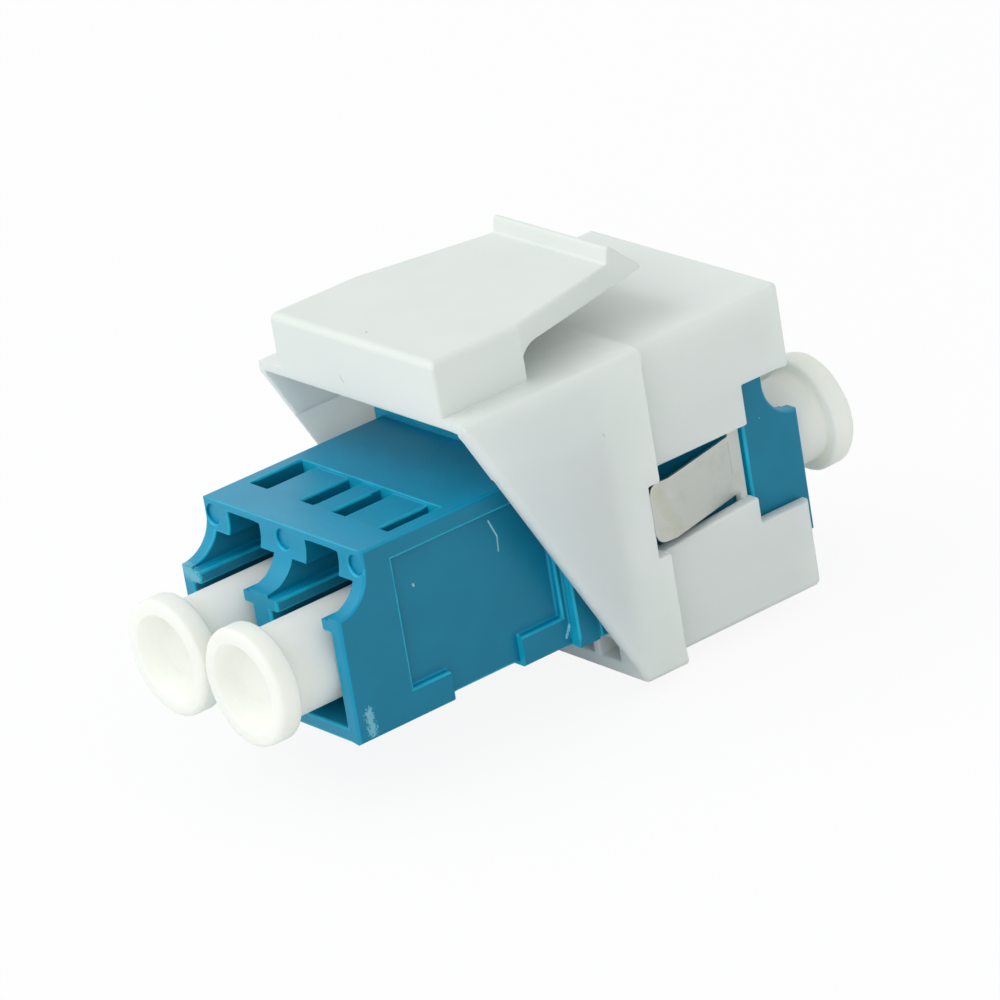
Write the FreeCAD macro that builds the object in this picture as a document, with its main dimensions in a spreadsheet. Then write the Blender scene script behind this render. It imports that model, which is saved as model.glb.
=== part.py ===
"""Duplex LC fibre adapter clipped into a keystone carrier, as a parametric FreeCAD document.

Frame, in millimetres: X across the two ports, +Y out through the wall plate, +Z up towards the
snap latch. The origin is the middle of the lower edge of the keystone opening, in the plane
where the carrier's shoulder stops against the back of the plate.
"""
import FreeCAD, Part
import os
import Sketcher

Vector = FreeCAD.Vector

# Every driving size, in millimetres: (alias, value, what it is)
SIZES = [
    # carrier: the box that fills the keystone opening
    ("box_half_width", 7.3, "box, half of its width"),
    ("box_height", 16.4, "box, underside to top"),
    ("box_depth", 9.85, "box, shoulder plane to front face"),
    ("box_round", 0.45, "box, rounding of the long edges"),
    ("face_round", 0.32, "box, rounding round its front face"),
    # carrier: the flared skirt behind the plate
    ("skirt_half_width", 8.35, "skirt, half of its width"),
    ("skirt_wall", 0.7, "skirt, side wall under the roof"),
    ("skirt_thin_wall", 0.47, "skirt, side wall below the step inside it"),
    ("wall_step", 13.3, "step inside the side walls, height"),
    ("skirt_lip", 0.24, "skirt, how far its lip stands below the box"),
    ("skirt_foot", 2.5, "skirt, depth at its foot"),
    ("skirt_brow", 10.95, "skirt, depth at its roof"),
    ("skirt_brow_height", 16.12, "skirt, where the sloping edge meets the roof"),
    ("roof_top", 16.72, "roof, top face"),
    ("roof_under", 16.2, "roof, underside"),
    ("flange_seat", 2.72, "depth behind the shoulder plane where the adapter's flange seats"),
    ("skirt_round", 0.45, "skirt, rounding of its outer side edges"),
    ("foot_round", 0.3, "skirt, rounding of its foot"),
    # carrier: tunnel, cores, windows
    ("tunnel_half_width", 6.5, "tunnel for the adapter, half of its width"),
    ("tunnel_floor", 2.48, "tunnel, floor height"),
    ("tunnel_roof", 12.15, "tunnel, roof height"),
    ("face_wall", 1.1, "wall left between the cores and the front face"),
    ("core_top_low", 13.1, "upper cores, underside"),
    ("core_top_high", 15.3, "upper cores, top"),
    ("core_top_reach", 6.1, "upper cores, half of their overall width"),
    ("core_low_low", 0.6, "lower cores, underside"),
    ("core_low_high", 1.75, "lower cores, top"),
    ("core_rib_place", 4.6, "lower cores, distance of each rib from the middle"),
    ("core_rib", 0.5, "thickness of the ribs between cores"),
    ("core_margin", 0.1, "lower cores, how far they stop inside the tunnel's walls"),
    ("window_low_back", 5.55, "side window, lower edge at the shoulder"),
    ("window_low_step", 6.05, "side window, lower edge at the step"),
    ("window_high", 9.95, "side window, upper edge"),
    ("window_step", 6.63, "side window, depth of the step"),
    ("mouth_low", 4.65, "wider front part of the window, lower edge"),
    ("mouth_high", 12.05, "wider front part of the window, upper edge"),
    ("notch_depth", 0.75, "notch in the shoulder that takes the end of a spring leaf"),
    ("notch_low", 5.85, "notch, lower edge"),
    ("notch_high", 9.65, "notch, upper edge"),
    ("hook_half_width", 6.4, "fixed hook under the box, half of its width"),
    ("hook_drop", 0.9, "fixed hook, how far it stands below the box"),
    ("hook_flat", 0.85, "fixed hook, depth of its foot"),
    ("hook_break", 1.3, "fixed hook, depth where its slope turns"),
    ("hook_break_drop", 0.36, "fixed hook, how far the turn stands below the box"),
    ("hook_run", 2.45, "fixed hook, depth where it meets the box"),
    ("hook_root", 0.5, "fixed hook, how far it is let into the box"),
    # carrier: snap latch
    ("block_half_width", 6.48, "latch root block, half of its width"),
    ("block_back", 5.55, "latch root block, its wall towards the plate"),
    ("block_round", 0.22, "latch root block, rounding of its back corners"),
    ("block_top_round", 0.4, "latch root block, rounding round its top"),
    ("latch_top", 19.6, "latch, top face"),
    ("latch_underside", 18.4, "latch arm, underside"),
    ("latch_root_low", 17.9, "latch arm, lower end of its root radius"),
    ("root_run", 1.1, "latch arm, run of its root radius"),
    ("latch_split", 0.02, "hairline between the root block and the arm"),
    ("latch_end_half_width", 4.43, "latch arm, half of its width at the wedge"),
    ("wedge_heel", 1.7, "wedge, foot of the steep face"),
    ("wedge_heel_height", 19.68, "wedge, height at the foot of the steep face"),
    ("wedge_peak", 1.9, "wedge, depth of the peak"),
    ("wedge_peak_height", 20.67, "wedge, height of the peak"),
    ("wedge_tip", 3.92, "wedge, depth of the tip"),
    ("wedge_tip_height", 18.82, "wedge, height of the tip"),
    ("wedge_foot", 2.1, "wedge, where its underside starts to rise to the tip"),
    # adapter half
    ("weld_plane", 4.06, "depth of the plane where the two halves are welded"),
    ("port_pitch", 6.25, "distance between the two ports"),
    ("port_axis", 6.4, "height of the port axes"),
    ("body_half_width", 6.42, "adapter body, half of its width"),
    ("body_floor", 2.6, "adapter body, underside"),
    ("body_top", 12.05, "adapter body, top face"),
    ("lower_reach", 14.6, "half length at the port floor"),
    ("upper_reach", 12.68, "half length at the top face"),
    ("scoop_height", 11.1, "finger scoop in the walls of the mouth, height of its centre"),
    ("body_round", 0.22, "adapter body, rounding of its outer edges"),
    ("flange_half_width", 7.05, "weld flange, half of its width"),
    ("flange_thick", 1.34, "weld flange, thickness on each half"),
    ("flange_top", 12.6, "weld flange, top"),
    ("web_thick", 0.7, "wall behind the ports, on each half"),
    ("port_floor", 3.36, "port, floor height"),
    ("port_half_width", 2.4, "port, half of its width"),
    ("rail_low", 8.35, "guide rails, underside"),
    ("rail_high", 9.0, "guide rails, top"),
    ("rail_gap_half", 1.75, "half of the gap between two guide rails"),
    ("shelf_height", 10.4, "underside of the latch shelves"),
    ("key_half_width", 1.3, "latch keyway, half of its width"),
    ("key_top", 11.6, "latch keyway, top"),
    ("window_near", 7.1, "latch windows, near end from the weld"),
    ("window_far", 10.35, "latch windows, far end from the weld"),
    ("window_inner", 1.36, "latch windows, inner edge from the port axis"),
    ("window_outer", 2.38, "latch windows, outer edge from the port axis"),
    ("window_break", 0.2, "latch windows, how far their cut runs below the shelf"),
    ("top_relief", 0.18, "shallow relief between the latch windows"),
    ("panel_depth", 0.4, "side panel, depth of the recess"),
    ("panel_near", 1.7, "side panel, near end from the weld"),
    ("panel_far", 11.0, "side panel, far end from the weld"),
    ("panel_top", 11.02, "side panel, top edge"),
    ("tab_top", 4.22, "side panel, top of the two tabs below it"),
    ("tab_near", 4.3, "end of the near tab, from the weld"),
    ("tab_far", 8.72, "end of the far tab, from the weld"),
    ("floor_relief", 0.24, "relief under the body for the clip"),
    ("dimple_radius", 0.52, "ejector dimples, radius"),
    ("dimple_depth", 0.25, "ejector dimples, depth"),
    ("dimple_height", 11.2, "ejector dimples, height"),
    ("dimple_place", 5.72, "outer ejector dimples, distance from the middle"),
    ("barrel_radius", 1.45, "sleeve barrel, outside radius"),
    ("barrel_reach", 3.8, "sleeve barrel, length from the weld"),
    ("barrel_bore", 0.85, "sleeve barrel, inside radius"),
    ("barrel_lip", 0.7, "sleeve barrel, small radius of the funnel in its end lip"),
    ("barrel_mouth", 0.98, "sleeve barrel, large radius of the funnel"),
    # split sleeve
    ("sleeve_half_length", 3.4, "split sleeve, half of its length"),
    ("sleeve_outer", 0.81, "split sleeve, outside radius"),
    ("sleeve_inner", 0.623, "split sleeve, inside radius"),
    ("sleeve_slit", 0.2, "split sleeve, width of the slit"),
    # dust cap
    ("cap_face", 18.53, "dust cap, outer face from the weld"),
    ("cap_flange", 1.3, "dust cap, flange thickness"),
    ("cap_flange_radius", 3.07, "dust cap, flange radius"),
    ("cap_tube_radius", 2.35, "dust cap, outside radius of the tube"),
    ("cap_bore_radius", 1.62, "dust cap, inside radius of the tube"),
    ("cap_end", 1.15, "dust cap, inner end of the tube from the weld"),
    ("cap_web", 1.25, "dust cap, closed end behind the dish"),
    ("dish_depth", 0.95, "dust cap, depth of the dish"),
    ("dish_radius", 2.36, "dust cap, dish radius at the face"),
    ("dish_floor_radius", 1.9, "dust cap, dish radius at its floor"),
    ("dish_break", 0.3, "dust cap, bevel at the foot of the dish"),
    ("cap_rim_break", 0.15, "dust cap, bevel of the rim's outer edge"),
    ("cap_lead", 0.4, "dust cap, length of the lead at the inner end"),
    ("cap_lead_break", 0.25, "dust cap, how far the lead narrows the tube"),
    # spring clip
    ("strip", 0.2, "spring clip, sheet thickness"),
    ("clip_bend", 0.18, "spring clip, outside radius of its folds"),
    ("clip_lift", 0.05, "spring clip, gap above the tabs of the panel"),
    ("clip_inset", 0.06, "spring clip, gap left at the ends of the relief"),
    ("clip_band_top", 5.45, "spring clip, top of the band along the foot of the panel"),
    ("clip_post_back", 6.07, "spring clip, back edge of the post that carries the leaf"),
    ("clip_post_front", 6.8, "spring clip, front edge of the post"),
    ("clip_post_top", 9.85, "spring clip, top of the post"),
    ("leaf_low", 6.12, "spring leaf, lower edge"),
    ("leaf_high", 9.3, "spring leaf, upper edge"),
    ("leaf_run", 6.2, "spring leaf, run along the adapter"),
    ("leaf_flare", 1.42, "spring leaf, how far its end stands off the band"),
    ("leaf_root", 0.1, "spring leaf, how far it is let into the post"),
    ("leaf_shift", 0.04, "spring leaf, how far the inner face runs on past the outer one"),
    ("overcut", 1.0, "how far a cut runs past the solid it opens"),
]

TOLERANCE = 1e-4
LEAST_CHANGE = 1e-6
ROOT_RUN = "(sizes.root_run - sizes.latch_split)"
ROOT_DROP = "(sizes.latch_underside - sizes.latch_root_low)"
# radius of the arc that leaves the arm's underside smoothly and ends at the root's lower end
ROOT_RADIUS = "((%s ^ 2 + %s ^ 2) / (2 * %s))" % (ROOT_RUN, ROOT_DROP, ROOT_DROP)

PORT_AXES = ("-0.5 * sizes.port_pitch", "0.5 * sizes.port_pitch")

CAP_PLACES = [
    ("cap_back_left", -1, False),
    ("cap_back_right", 1, False),
    ("cap_front_left", -1, True),
    ("cap_front_right", 1, True),
]

document = FreeCAD.newDocument("lc_keystone_adapter")
sheet = document.addObject("Spreadsheet::Sheet", "sizes")
built = {}


def fill_sheet():
    """Write one row per driving size: note, value, alias."""
    for row, (alias, value, note) in enumerate(SIZES, start=1):
        sheet.set("A%d" % row, note)
        sheet.set("B%d" % row, str(value))
        sheet.setAlias("B%d" % row, alias)
    document.recompute()


def size(expression):
    """Value of an expression in the sheet's aliases."""
    return float(sheet.evalExpression(expression))


def new_body(label):
    body = document.addObject("PartDesign::Body", label)
    body.Label = label
    built[label] = body
    return body


def origin_plane(body, role):
    return [item for item in body.Origin.OriginFeatures if item.Role == role][0]


def new_sketch(body, role, offset="0"):
    """Sketch on one of the body's own origin planes, moved along the plane's normal."""
    plane = origin_plane(body, role)
    sketch = body.newObject("Sketcher::SketchObject", body.Label + "_sketch")
    sketch.AttachmentSupport = (plane, [""])
    sketch.MapMode = "FlatFace"
    if offset != "0":
        sketch.setExpression(".AttachmentOffset.Base.z", offset)
    return sketch


def drive(sketch, kind, geometry, vertex, expression):
    """Bind one coordinate of a vertex to an expression in the sheet."""
    index = sketch.addConstraint(
        Sketcher.Constraint(kind, -1, 1, geometry, vertex, size(expression)))
    sketch.setExpression("Constraints[%d]" % index, expression)


def add_polygon(sketch, corners):
    """Closed outline through corners given as pairs of expressions."""
    first = sketch.GeometryCount
    count = len(corners)
    places = [Vector(size(across), size(up), 0) for across, up in corners]
    for step in range(count):
        sketch.addGeometry(Part.LineSegment(places[step], places[(step + 1) % count]), False)
    for step in range(count):
        following = first + (step + 1) % count
        sketch.addConstraint(Sketcher.Constraint("Coincident", first + step, 2, following, 1))
    for step, (across, up) in enumerate(corners):
        drive(sketch, "DistanceX", first + step, 1, across)
        drive(sketch, "DistanceY", first + step, 1, up)


def add_box(sketch, left, low, right, high):
    add_polygon(sketch, [(left, low), (right, low), (right, high), (left, high)])


def add_circle(sketch, across, up, radius):
    index = sketch.addGeometry(
        Part.Circle(Vector(size(across), size(up), 0), Vector(0, 0, 1), size(radius)), False)
    drive(sketch, "DistanceX", index, 3, across)
    drive(sketch, "DistanceY", index, 3, up)
    bound = sketch.addConstraint(Sketcher.Constraint("Radius", index, size(radius)))
    sketch.setExpression("Constraints[%d]" % bound, radius)


def feature(body, kind, sketch, length, symmetric=False, backward=False):
    """Pad or pocket a sketch, checking that it changed the solid."""
    before = body.Shape.Volume if body.Tip else 0.0
    item = body.newObject("PartDesign::" + kind, body.Label + "_" + kind.lower())
    item.Profile = sketch
    item.setExpression("Length", length)
    item.SideType = "Symmetric" if symmetric else "One side"
    item.Reversed = backward
    document.recompute()
    change = item.Shape.Volume - before
    if (kind == "Pad") != (change > LEAST_CHANGE):
        raise RuntimeError("%s did nothing useful (%.4f)" % (item.Name, change))
    return item


def edges_where(shape, test):
    """Names of the straight or curved edges whose bounding box passes the test."""
    return ["Edge%d" % (index + 1) for index, edge in enumerate(shape.Edges)
            if test(edge.BoundBox)]


def near(first, second):
    return abs(first - second) < TOLERANCE


def at(low, high, place):
    """Whether a bounding box's extent from low to high lies in the plane of the place."""
    return near(low, place) and near(high, place)


def on_side(box, half_width):
    """Whether an edge lies in one of the two outer side planes."""
    return near(box.XMin, box.XMax) and near(abs(box.XMin), half_width)


def round_edges(body, test, radius):
    names = edges_where(body.Shape, test)
    if not names:
        raise RuntimeError("no edge to round on " + body.Label)
    base = body.Tip
    item = body.newObject("PartDesign::Fillet", body.Label + "_fillet")
    item.Base = (base, names)
    item.setExpression("Radius", radius)
    document.recompute()
    return item


def carrier_skirt(body):
    """Flared skirt behind the plate, its sides and foot rounded."""
    outline = new_sketch(body, "YZ_Plane")
    add_polygon(outline, [
        ("0", "-sizes.skirt_lip"),
        ("0", "sizes.roof_top"),
        ("-sizes.skirt_brow", "sizes.roof_top"),
        ("-sizes.skirt_brow", "sizes.skirt_brow_height"),
        ("-sizes.skirt_foot", "-sizes.skirt_lip"),
    ])
    feature(body, "Pad", outline, "2 * sizes.skirt_half_width", symmetric=True)
    side = size("sizes.skirt_half_width")
    foot = -size("sizes.skirt_foot")
    round_edges(body, lambda edge: at(edge.YMin, edge.YMax, foot)
                and not on_side(edge, side), "sizes.foot_round")
    round_edges(body, lambda edge: on_side(edge, side)
                and not near(edge.YMax + edge.YMin, 0), "sizes.skirt_round")


def carrier_block(body):
    """Block on the roof that the latch arm springs from."""
    block = new_sketch(body, "YZ_Plane")
    add_box(block, "-sizes.skirt_brow", "sizes.roof_under", "-sizes.block_back",
            "sizes.latch_top")
    feature(body, "Pad", block, "2 * sizes.block_half_width", symmetric=True)
    side = size("sizes.block_half_width")
    back = -size("sizes.skirt_brow")
    wall = -size("sizes.block_back")
    top = size("sizes.latch_top")
    round_edges(body, lambda edge: on_side(edge, side) and at(edge.YMin, edge.YMax, back),
                "sizes.block_round")
    round_edges(body, lambda edge: at(edge.ZMin, edge.ZMax, top)
                and not at(edge.YMin, edge.YMax, wall), "sizes.block_top_round")


def carrier_box(body):
    """Box that fills the keystone opening, with the fixed hook under it."""
    box = new_sketch(body, "YZ_Plane")
    add_box(box, "-sizes.flange_seat", "0", "sizes.box_depth", "sizes.box_height")
    feature(body, "Pad", box, "2 * sizes.box_half_width", symmetric=True)
    side = size("sizes.box_half_width")
    face = size("sizes.box_depth")
    round_edges(body, lambda edge: on_side(edge, side) and near(edge.YMax, face),
                "sizes.box_round")
    round_edges(body, lambda edge: at(edge.YMin, edge.YMax, face)
                and not near(edge.XMin, edge.XMax), "sizes.face_round")
    hook = new_sketch(body, "YZ_Plane")
    add_polygon(hook, [
        ("0", "sizes.hook_root"),
        ("0", "-sizes.hook_drop"),
        ("sizes.hook_flat", "-sizes.hook_drop"),
        ("sizes.hook_break", "-sizes.hook_break_drop"),
        ("sizes.hook_run", "0"),
        ("sizes.hook_run", "sizes.hook_root"),
    ])
    feature(body, "Pad", hook, "2 * sizes.hook_half_width", symmetric=True)


def carrier_hollows(body):
    """Space behind the plate, tunnel for the adapter and the cores above and below it."""
    hollow = new_sketch(body, "XZ_Plane", "sizes.skirt_brow + sizes.overcut")
    low_side = "(sizes.skirt_half_width - sizes.skirt_thin_wall)"
    high_side = "(sizes.skirt_half_width - sizes.skirt_wall)"
    steps = [
        (low_side, "-sizes.skirt_lip - sizes.overcut"),
        (low_side, "sizes.wall_step"),
        (high_side, "sizes.wall_step"),
        (high_side, "sizes.roof_under"),
    ]
    add_polygon(hollow, steps + [("-" + across, up) for across, up in reversed(steps)])
    feature(body, "Pocket", hollow, "sizes.skirt_brow + sizes.overcut - sizes.flange_seat")
    tunnel = new_sketch(body, "XZ_Plane", "sizes.skirt_brow")
    add_box(tunnel, "-sizes.tunnel_half_width", "sizes.tunnel_floor",
            "sizes.tunnel_half_width", "sizes.tunnel_roof")
    feature(body, "Pocket", tunnel, "sizes.skirt_brow + sizes.box_depth + sizes.overcut")
    cores = new_sketch(body, "XZ_Plane", "sizes.skirt_brow")
    for sign in ("-", ""):
        add_box(cores, sign + "0.5 * sizes.core_rib", "sizes.core_top_low",
                sign + "sizes.core_top_reach", "sizes.core_top_high")
        add_box(cores, sign + "(sizes.core_rib_place + 0.5 * sizes.core_rib)",
                "sizes.core_low_low", sign + "(sizes.tunnel_half_width - sizes.core_margin)",
                "sizes.core_low_high")
    add_box(cores, "-(sizes.core_rib_place - 0.5 * sizes.core_rib)", "sizes.core_low_low",
            "sizes.core_rib_place - 0.5 * sizes.core_rib", "sizes.core_low_high")
    feature(body, "Pocket", cores, "sizes.skirt_brow + sizes.box_depth - sizes.face_wall")


def carrier_windows(body):
    """Side windows that let the spring leaves through, with a notch for their ends."""
    windows = new_sketch(body, "YZ_Plane")
    add_polygon(windows, [
        ("-sizes.notch_depth", "sizes.notch_low"),
        ("0", "sizes.notch_low"),
        ("0", "sizes.window_low_back"),
        ("sizes.window_step", "sizes.window_low_step"),
        ("sizes.window_step", "sizes.mouth_low"),
        ("sizes.box_depth + sizes.overcut", "sizes.mouth_low"),
        ("sizes.box_depth + sizes.overcut", "sizes.mouth_high"),
        ("sizes.window_step", "sizes.mouth_high"),
        ("sizes.window_step", "sizes.window_high"),
        ("0", "sizes.window_high"),
        ("0", "sizes.notch_high"),
        ("-sizes.notch_depth", "sizes.notch_high"),
    ])
    feature(body, "Pocket", windows, "2 * (sizes.skirt_half_width + sizes.overcut)",
            symmetric=True)


def build_carrier():
    """White moulding that snaps into the wall plate."""
    body = new_body("keystone_carrier")
    carrier_skirt(body)
    carrier_block(body)
    carrier_box(body)
    carrier_hollows(body)
    carrier_windows(body)


def build_latch():
    """Snap latch arm with its wedge; in life one moulding with the carrier."""
    body = new_body("snap_latch")
    root = "-(sizes.block_back - sizes.latch_split)"
    outline = new_sketch(body, "YZ_Plane")
    add_polygon(outline, [
        (root, "sizes.latch_root_low"),
        (root, "sizes.latch_top"),
        ("sizes.wedge_heel", "sizes.wedge_heel_height"),
        ("sizes.wedge_peak", "sizes.wedge_peak_height"),
        ("sizes.wedge_tip", "sizes.wedge_tip_height"),
        ("sizes.wedge_foot", "sizes.latch_underside"),
        ("-sizes.block_back + sizes.root_run", "sizes.latch_underside"),
    ])
    feature(body, "Pad", outline, "2 * sizes.block_half_width", symmetric=True)
    scoop = new_sketch(body, "YZ_Plane")
    add_circle(scoop, "-sizes.block_back + sizes.root_run",
               "sizes.latch_underside - " + ROOT_RADIUS, ROOT_RADIUS)
    feature(body, "Pocket", scoop, "2 * (sizes.block_half_width + sizes.overcut)",
            symmetric=True)
    waste = new_sketch(body, "XY_Plane", "sizes.latch_root_low - sizes.overcut")
    for side_sign in ("-", ""):
        add_polygon(waste, [
            (side_sign + "sizes.block_half_width", "-sizes.block_back"),
            (side_sign + "sizes.latch_end_half_width", "sizes.wedge_heel"),
            (side_sign + "sizes.latch_end_half_width", "sizes.wedge_tip + sizes.overcut"),
            (side_sign + "(sizes.block_half_width + sizes.overcut)",
             "sizes.wedge_tip + sizes.overcut"),
            (side_sign + "(sizes.block_half_width + sizes.overcut)", "-sizes.block_back"),
        ])
    feature(body, "Pocket", waste,
            "sizes.wedge_peak_height - sizes.latch_root_low + 2 * sizes.overcut",
            backward=True)


def add_port_outline(sketch, axis):
    """Stepped mouth of one port: plug space, guide rails, latch shelf and keyway."""
    steps = [
        ("sizes.port_half_width", "sizes.port_floor"),
        ("sizes.port_half_width", "sizes.rail_low"),
        ("sizes.rail_gap_half", "sizes.rail_low"),
        ("sizes.rail_gap_half", "sizes.rail_high"),
        ("sizes.port_half_width", "sizes.rail_high"),
        ("sizes.port_half_width", "sizes.shelf_height"),
        ("sizes.key_half_width", "sizes.shelf_height"),
        ("sizes.key_half_width", "sizes.key_top"),
    ]
    right = [("%s + %s" % (axis, across), up) for across, up in steps]
    left = [("%s - %s" % (axis, across), up) for across, up in reversed(steps)]
    add_polygon(sketch, right + left)


def half_shell(body):
    """Outer block of one half with the finger scoop across its mouth, and the weld flange."""
    outline = new_sketch(body, "YZ_Plane")
    add_box(outline, "-sizes.lower_reach", "sizes.body_floor", "0", "sizes.body_top")
    feature(body, "Pad", outline, "2 * sizes.body_half_width", symmetric=True)
    scoop = new_sketch(body, "YZ_Plane")
    add_circle(scoop, "-sizes.lower_reach", "sizes.scoop_height",
               "sizes.lower_reach - sizes.upper_reach")
    feature(body, "Pocket", scoop, "2 * (sizes.body_half_width + sizes.overcut)",
            symmetric=True)
    brow = new_sketch(body, "YZ_Plane")
    add_box(brow, "-sizes.lower_reach - sizes.overcut", "sizes.scoop_height",
            "-sizes.upper_reach", "sizes.body_top + sizes.overcut")
    feature(body, "Pocket", brow, "2 * (sizes.body_half_width + sizes.overcut)",
            symmetric=True)
    side = size("sizes.body_half_width")
    round_edges(body, lambda edge: on_side(edge, side) and not at(edge.YMin, edge.YMax, 0),
                "sizes.body_round")
    flange = new_sketch(body, "XZ_Plane")
    add_box(flange, "-sizes.flange_half_width", "sizes.body_floor", "sizes.flange_half_width",
            "sizes.flange_top")
    feature(body, "Pad", flange, "sizes.flange_thick")


def half_ports(body):
    """Both ports and the barrels that hold the split sleeves."""
    ports = new_sketch(body, "XZ_Plane", "sizes.lower_reach + sizes.overcut")
    for axis in PORT_AXES:
        add_port_outline(ports, axis)
    feature(body, "Pocket", ports, "sizes.lower_reach + sizes.overcut - sizes.web_thick")
    add_barrel_feature(body, "Pad", "sizes.barrel_radius", "sizes.barrel_reach", False)
    add_barrel_feature(body, "Pocket", "sizes.barrel_bore", "sizes.sleeve_half_length", True)
    for axis in PORT_AXES:
        add_funnel(body, axis)


def add_barrel_feature(body, kind, radius, length, backward):
    """Pad or pocket one circle on each port axis, from the weld face towards the mouth."""
    circles = new_sketch(body, "XZ_Plane")
    for axis in PORT_AXES:
        add_circle(circles, axis, "sizes.port_axis", radius)
    feature(body, kind, circles, length, backward=backward)


def add_funnel(body, axis):
    """Conical lead through the lip that keeps the sleeve in, widening towards the mouth."""
    plane = origin_plane(body, "XZ_Plane")
    funnel = body.newObject("PartDesign::SubtractiveCone", body.Label + "_funnel")
    funnel.AttachmentSupport = (plane, [""])
    funnel.MapMode = "FlatFace"
    funnel.setExpression(".AttachmentOffset.Base.x", axis)
    funnel.setExpression(".AttachmentOffset.Base.y", "sizes.port_axis")
    funnel.setExpression(".AttachmentOffset.Base.z", "sizes.sleeve_half_length")
    funnel.setExpression("Radius1", "sizes.barrel_lip")
    funnel.setExpression("Radius2", "sizes.barrel_mouth")
    funnel.setExpression("Height", "sizes.barrel_reach - sizes.sleeve_half_length")
    document.recompute()


def half_windows(body):
    """Latch windows in the top face, in a shallow relief."""
    edge = "0.5 * sizes.port_pitch + sizes.window_outer"
    relief = new_sketch(body, "XY_Plane", "sizes.body_top")
    add_box(relief, "-(%s)" % edge, "-sizes.window_far", edge, "-sizes.window_near")
    feature(body, "Pocket", relief, "sizes.top_relief")
    slots = new_sketch(body, "XY_Plane", "sizes.body_top")
    for axis in PORT_AXES:
        for sign in ("-", "+"):
            add_box(slots, "%s %s sizes.window_inner" % (axis, sign), "-sizes.window_far",
                    "%s %s sizes.window_outer" % (axis, sign), "-sizes.window_near")
    feature(body, "Pocket", slots, "sizes.body_top - sizes.shelf_height + sizes.window_break")


def half_panels(body):
    """Recessed side panels, the groove under the body for the clip, the ejector dimples."""
    for backward in (False, True):
        normal = "-" if backward else ""
        panel = new_sketch(body, "YZ_Plane",
                           normal + "(sizes.body_half_width - sizes.panel_depth)")
        add_polygon(panel, [
            ("-sizes.panel_far", "sizes.panel_top"),
            ("-sizes.panel_far", "sizes.tab_top"),
            ("-sizes.tab_far", "sizes.tab_top"),
            ("-sizes.tab_far", "sizes.body_floor - sizes.overcut"),
            ("-sizes.tab_near", "sizes.body_floor - sizes.overcut"),
            ("-sizes.tab_near", "sizes.tab_top"),
            ("-sizes.panel_near", "sizes.tab_top"),
            ("-sizes.panel_near", "sizes.panel_top"),
        ])
        feature(body, "Pocket", panel, "sizes.panel_depth + sizes.overcut",
                backward=not backward)
    groove = new_sketch(body, "XY_Plane", "sizes.body_floor")
    add_box(groove, "-sizes.body_half_width - sizes.overcut", "-sizes.tab_far",
            "sizes.body_half_width + sizes.overcut", "-sizes.tab_near")
    feature(body, "Pocket", groove, "sizes.floor_relief", backward=True)
    dimples = new_sketch(body, "XZ_Plane", "sizes.upper_reach")
    for place in ("-sizes.dimple_place", "0", "sizes.dimple_place"):
        add_circle(dimples, place, "sizes.dimple_height", "sizes.dimple_radius")
    feature(body, "Pocket", dimples, "sizes.dimple_depth")


def build_half(label, turn):
    """One half of the adapter: modelled with its mouth towards -Y, then turned about Z."""
    body = new_body(label)
    half_shell(body)
    half_ports(body)
    half_windows(body)
    half_panels(body)
    body.Placement = FreeCAD.Placement(Vector(0, 0, 0), FreeCAD.Rotation(Vector(0, 0, 1), turn))
    body.setExpression(".Placement.Base.y", "-sizes.weld_plane")


def build_sleeve(label, side):
    """Split zirconia sleeve on one port axis, slit downwards."""
    body = new_body(label)
    ring = new_sketch(body, "XZ_Plane")
    add_circle(ring, "0", "0", "sizes.sleeve_outer")
    add_circle(ring, "0", "0", "sizes.sleeve_inner")
    feature(body, "Pad", ring, "2 * sizes.sleeve_half_length", symmetric=True)
    slit = new_sketch(body, "XZ_Plane")
    add_box(slit, "-0.5 * sizes.sleeve_slit", "-sizes.sleeve_outer - sizes.overcut",
            "0.5 * sizes.sleeve_slit", "0")
    feature(body, "Pocket", slit, "2 * (sizes.sleeve_half_length + sizes.overcut)",
            symmetric=True)
    body.setExpression(".Placement.Base.x", "%d * 0.5 * sizes.port_pitch" % side)
    body.setExpression(".Placement.Base.y", "-sizes.weld_plane")
    body.setExpression(".Placement.Base.z", "sizes.port_axis")


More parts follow.
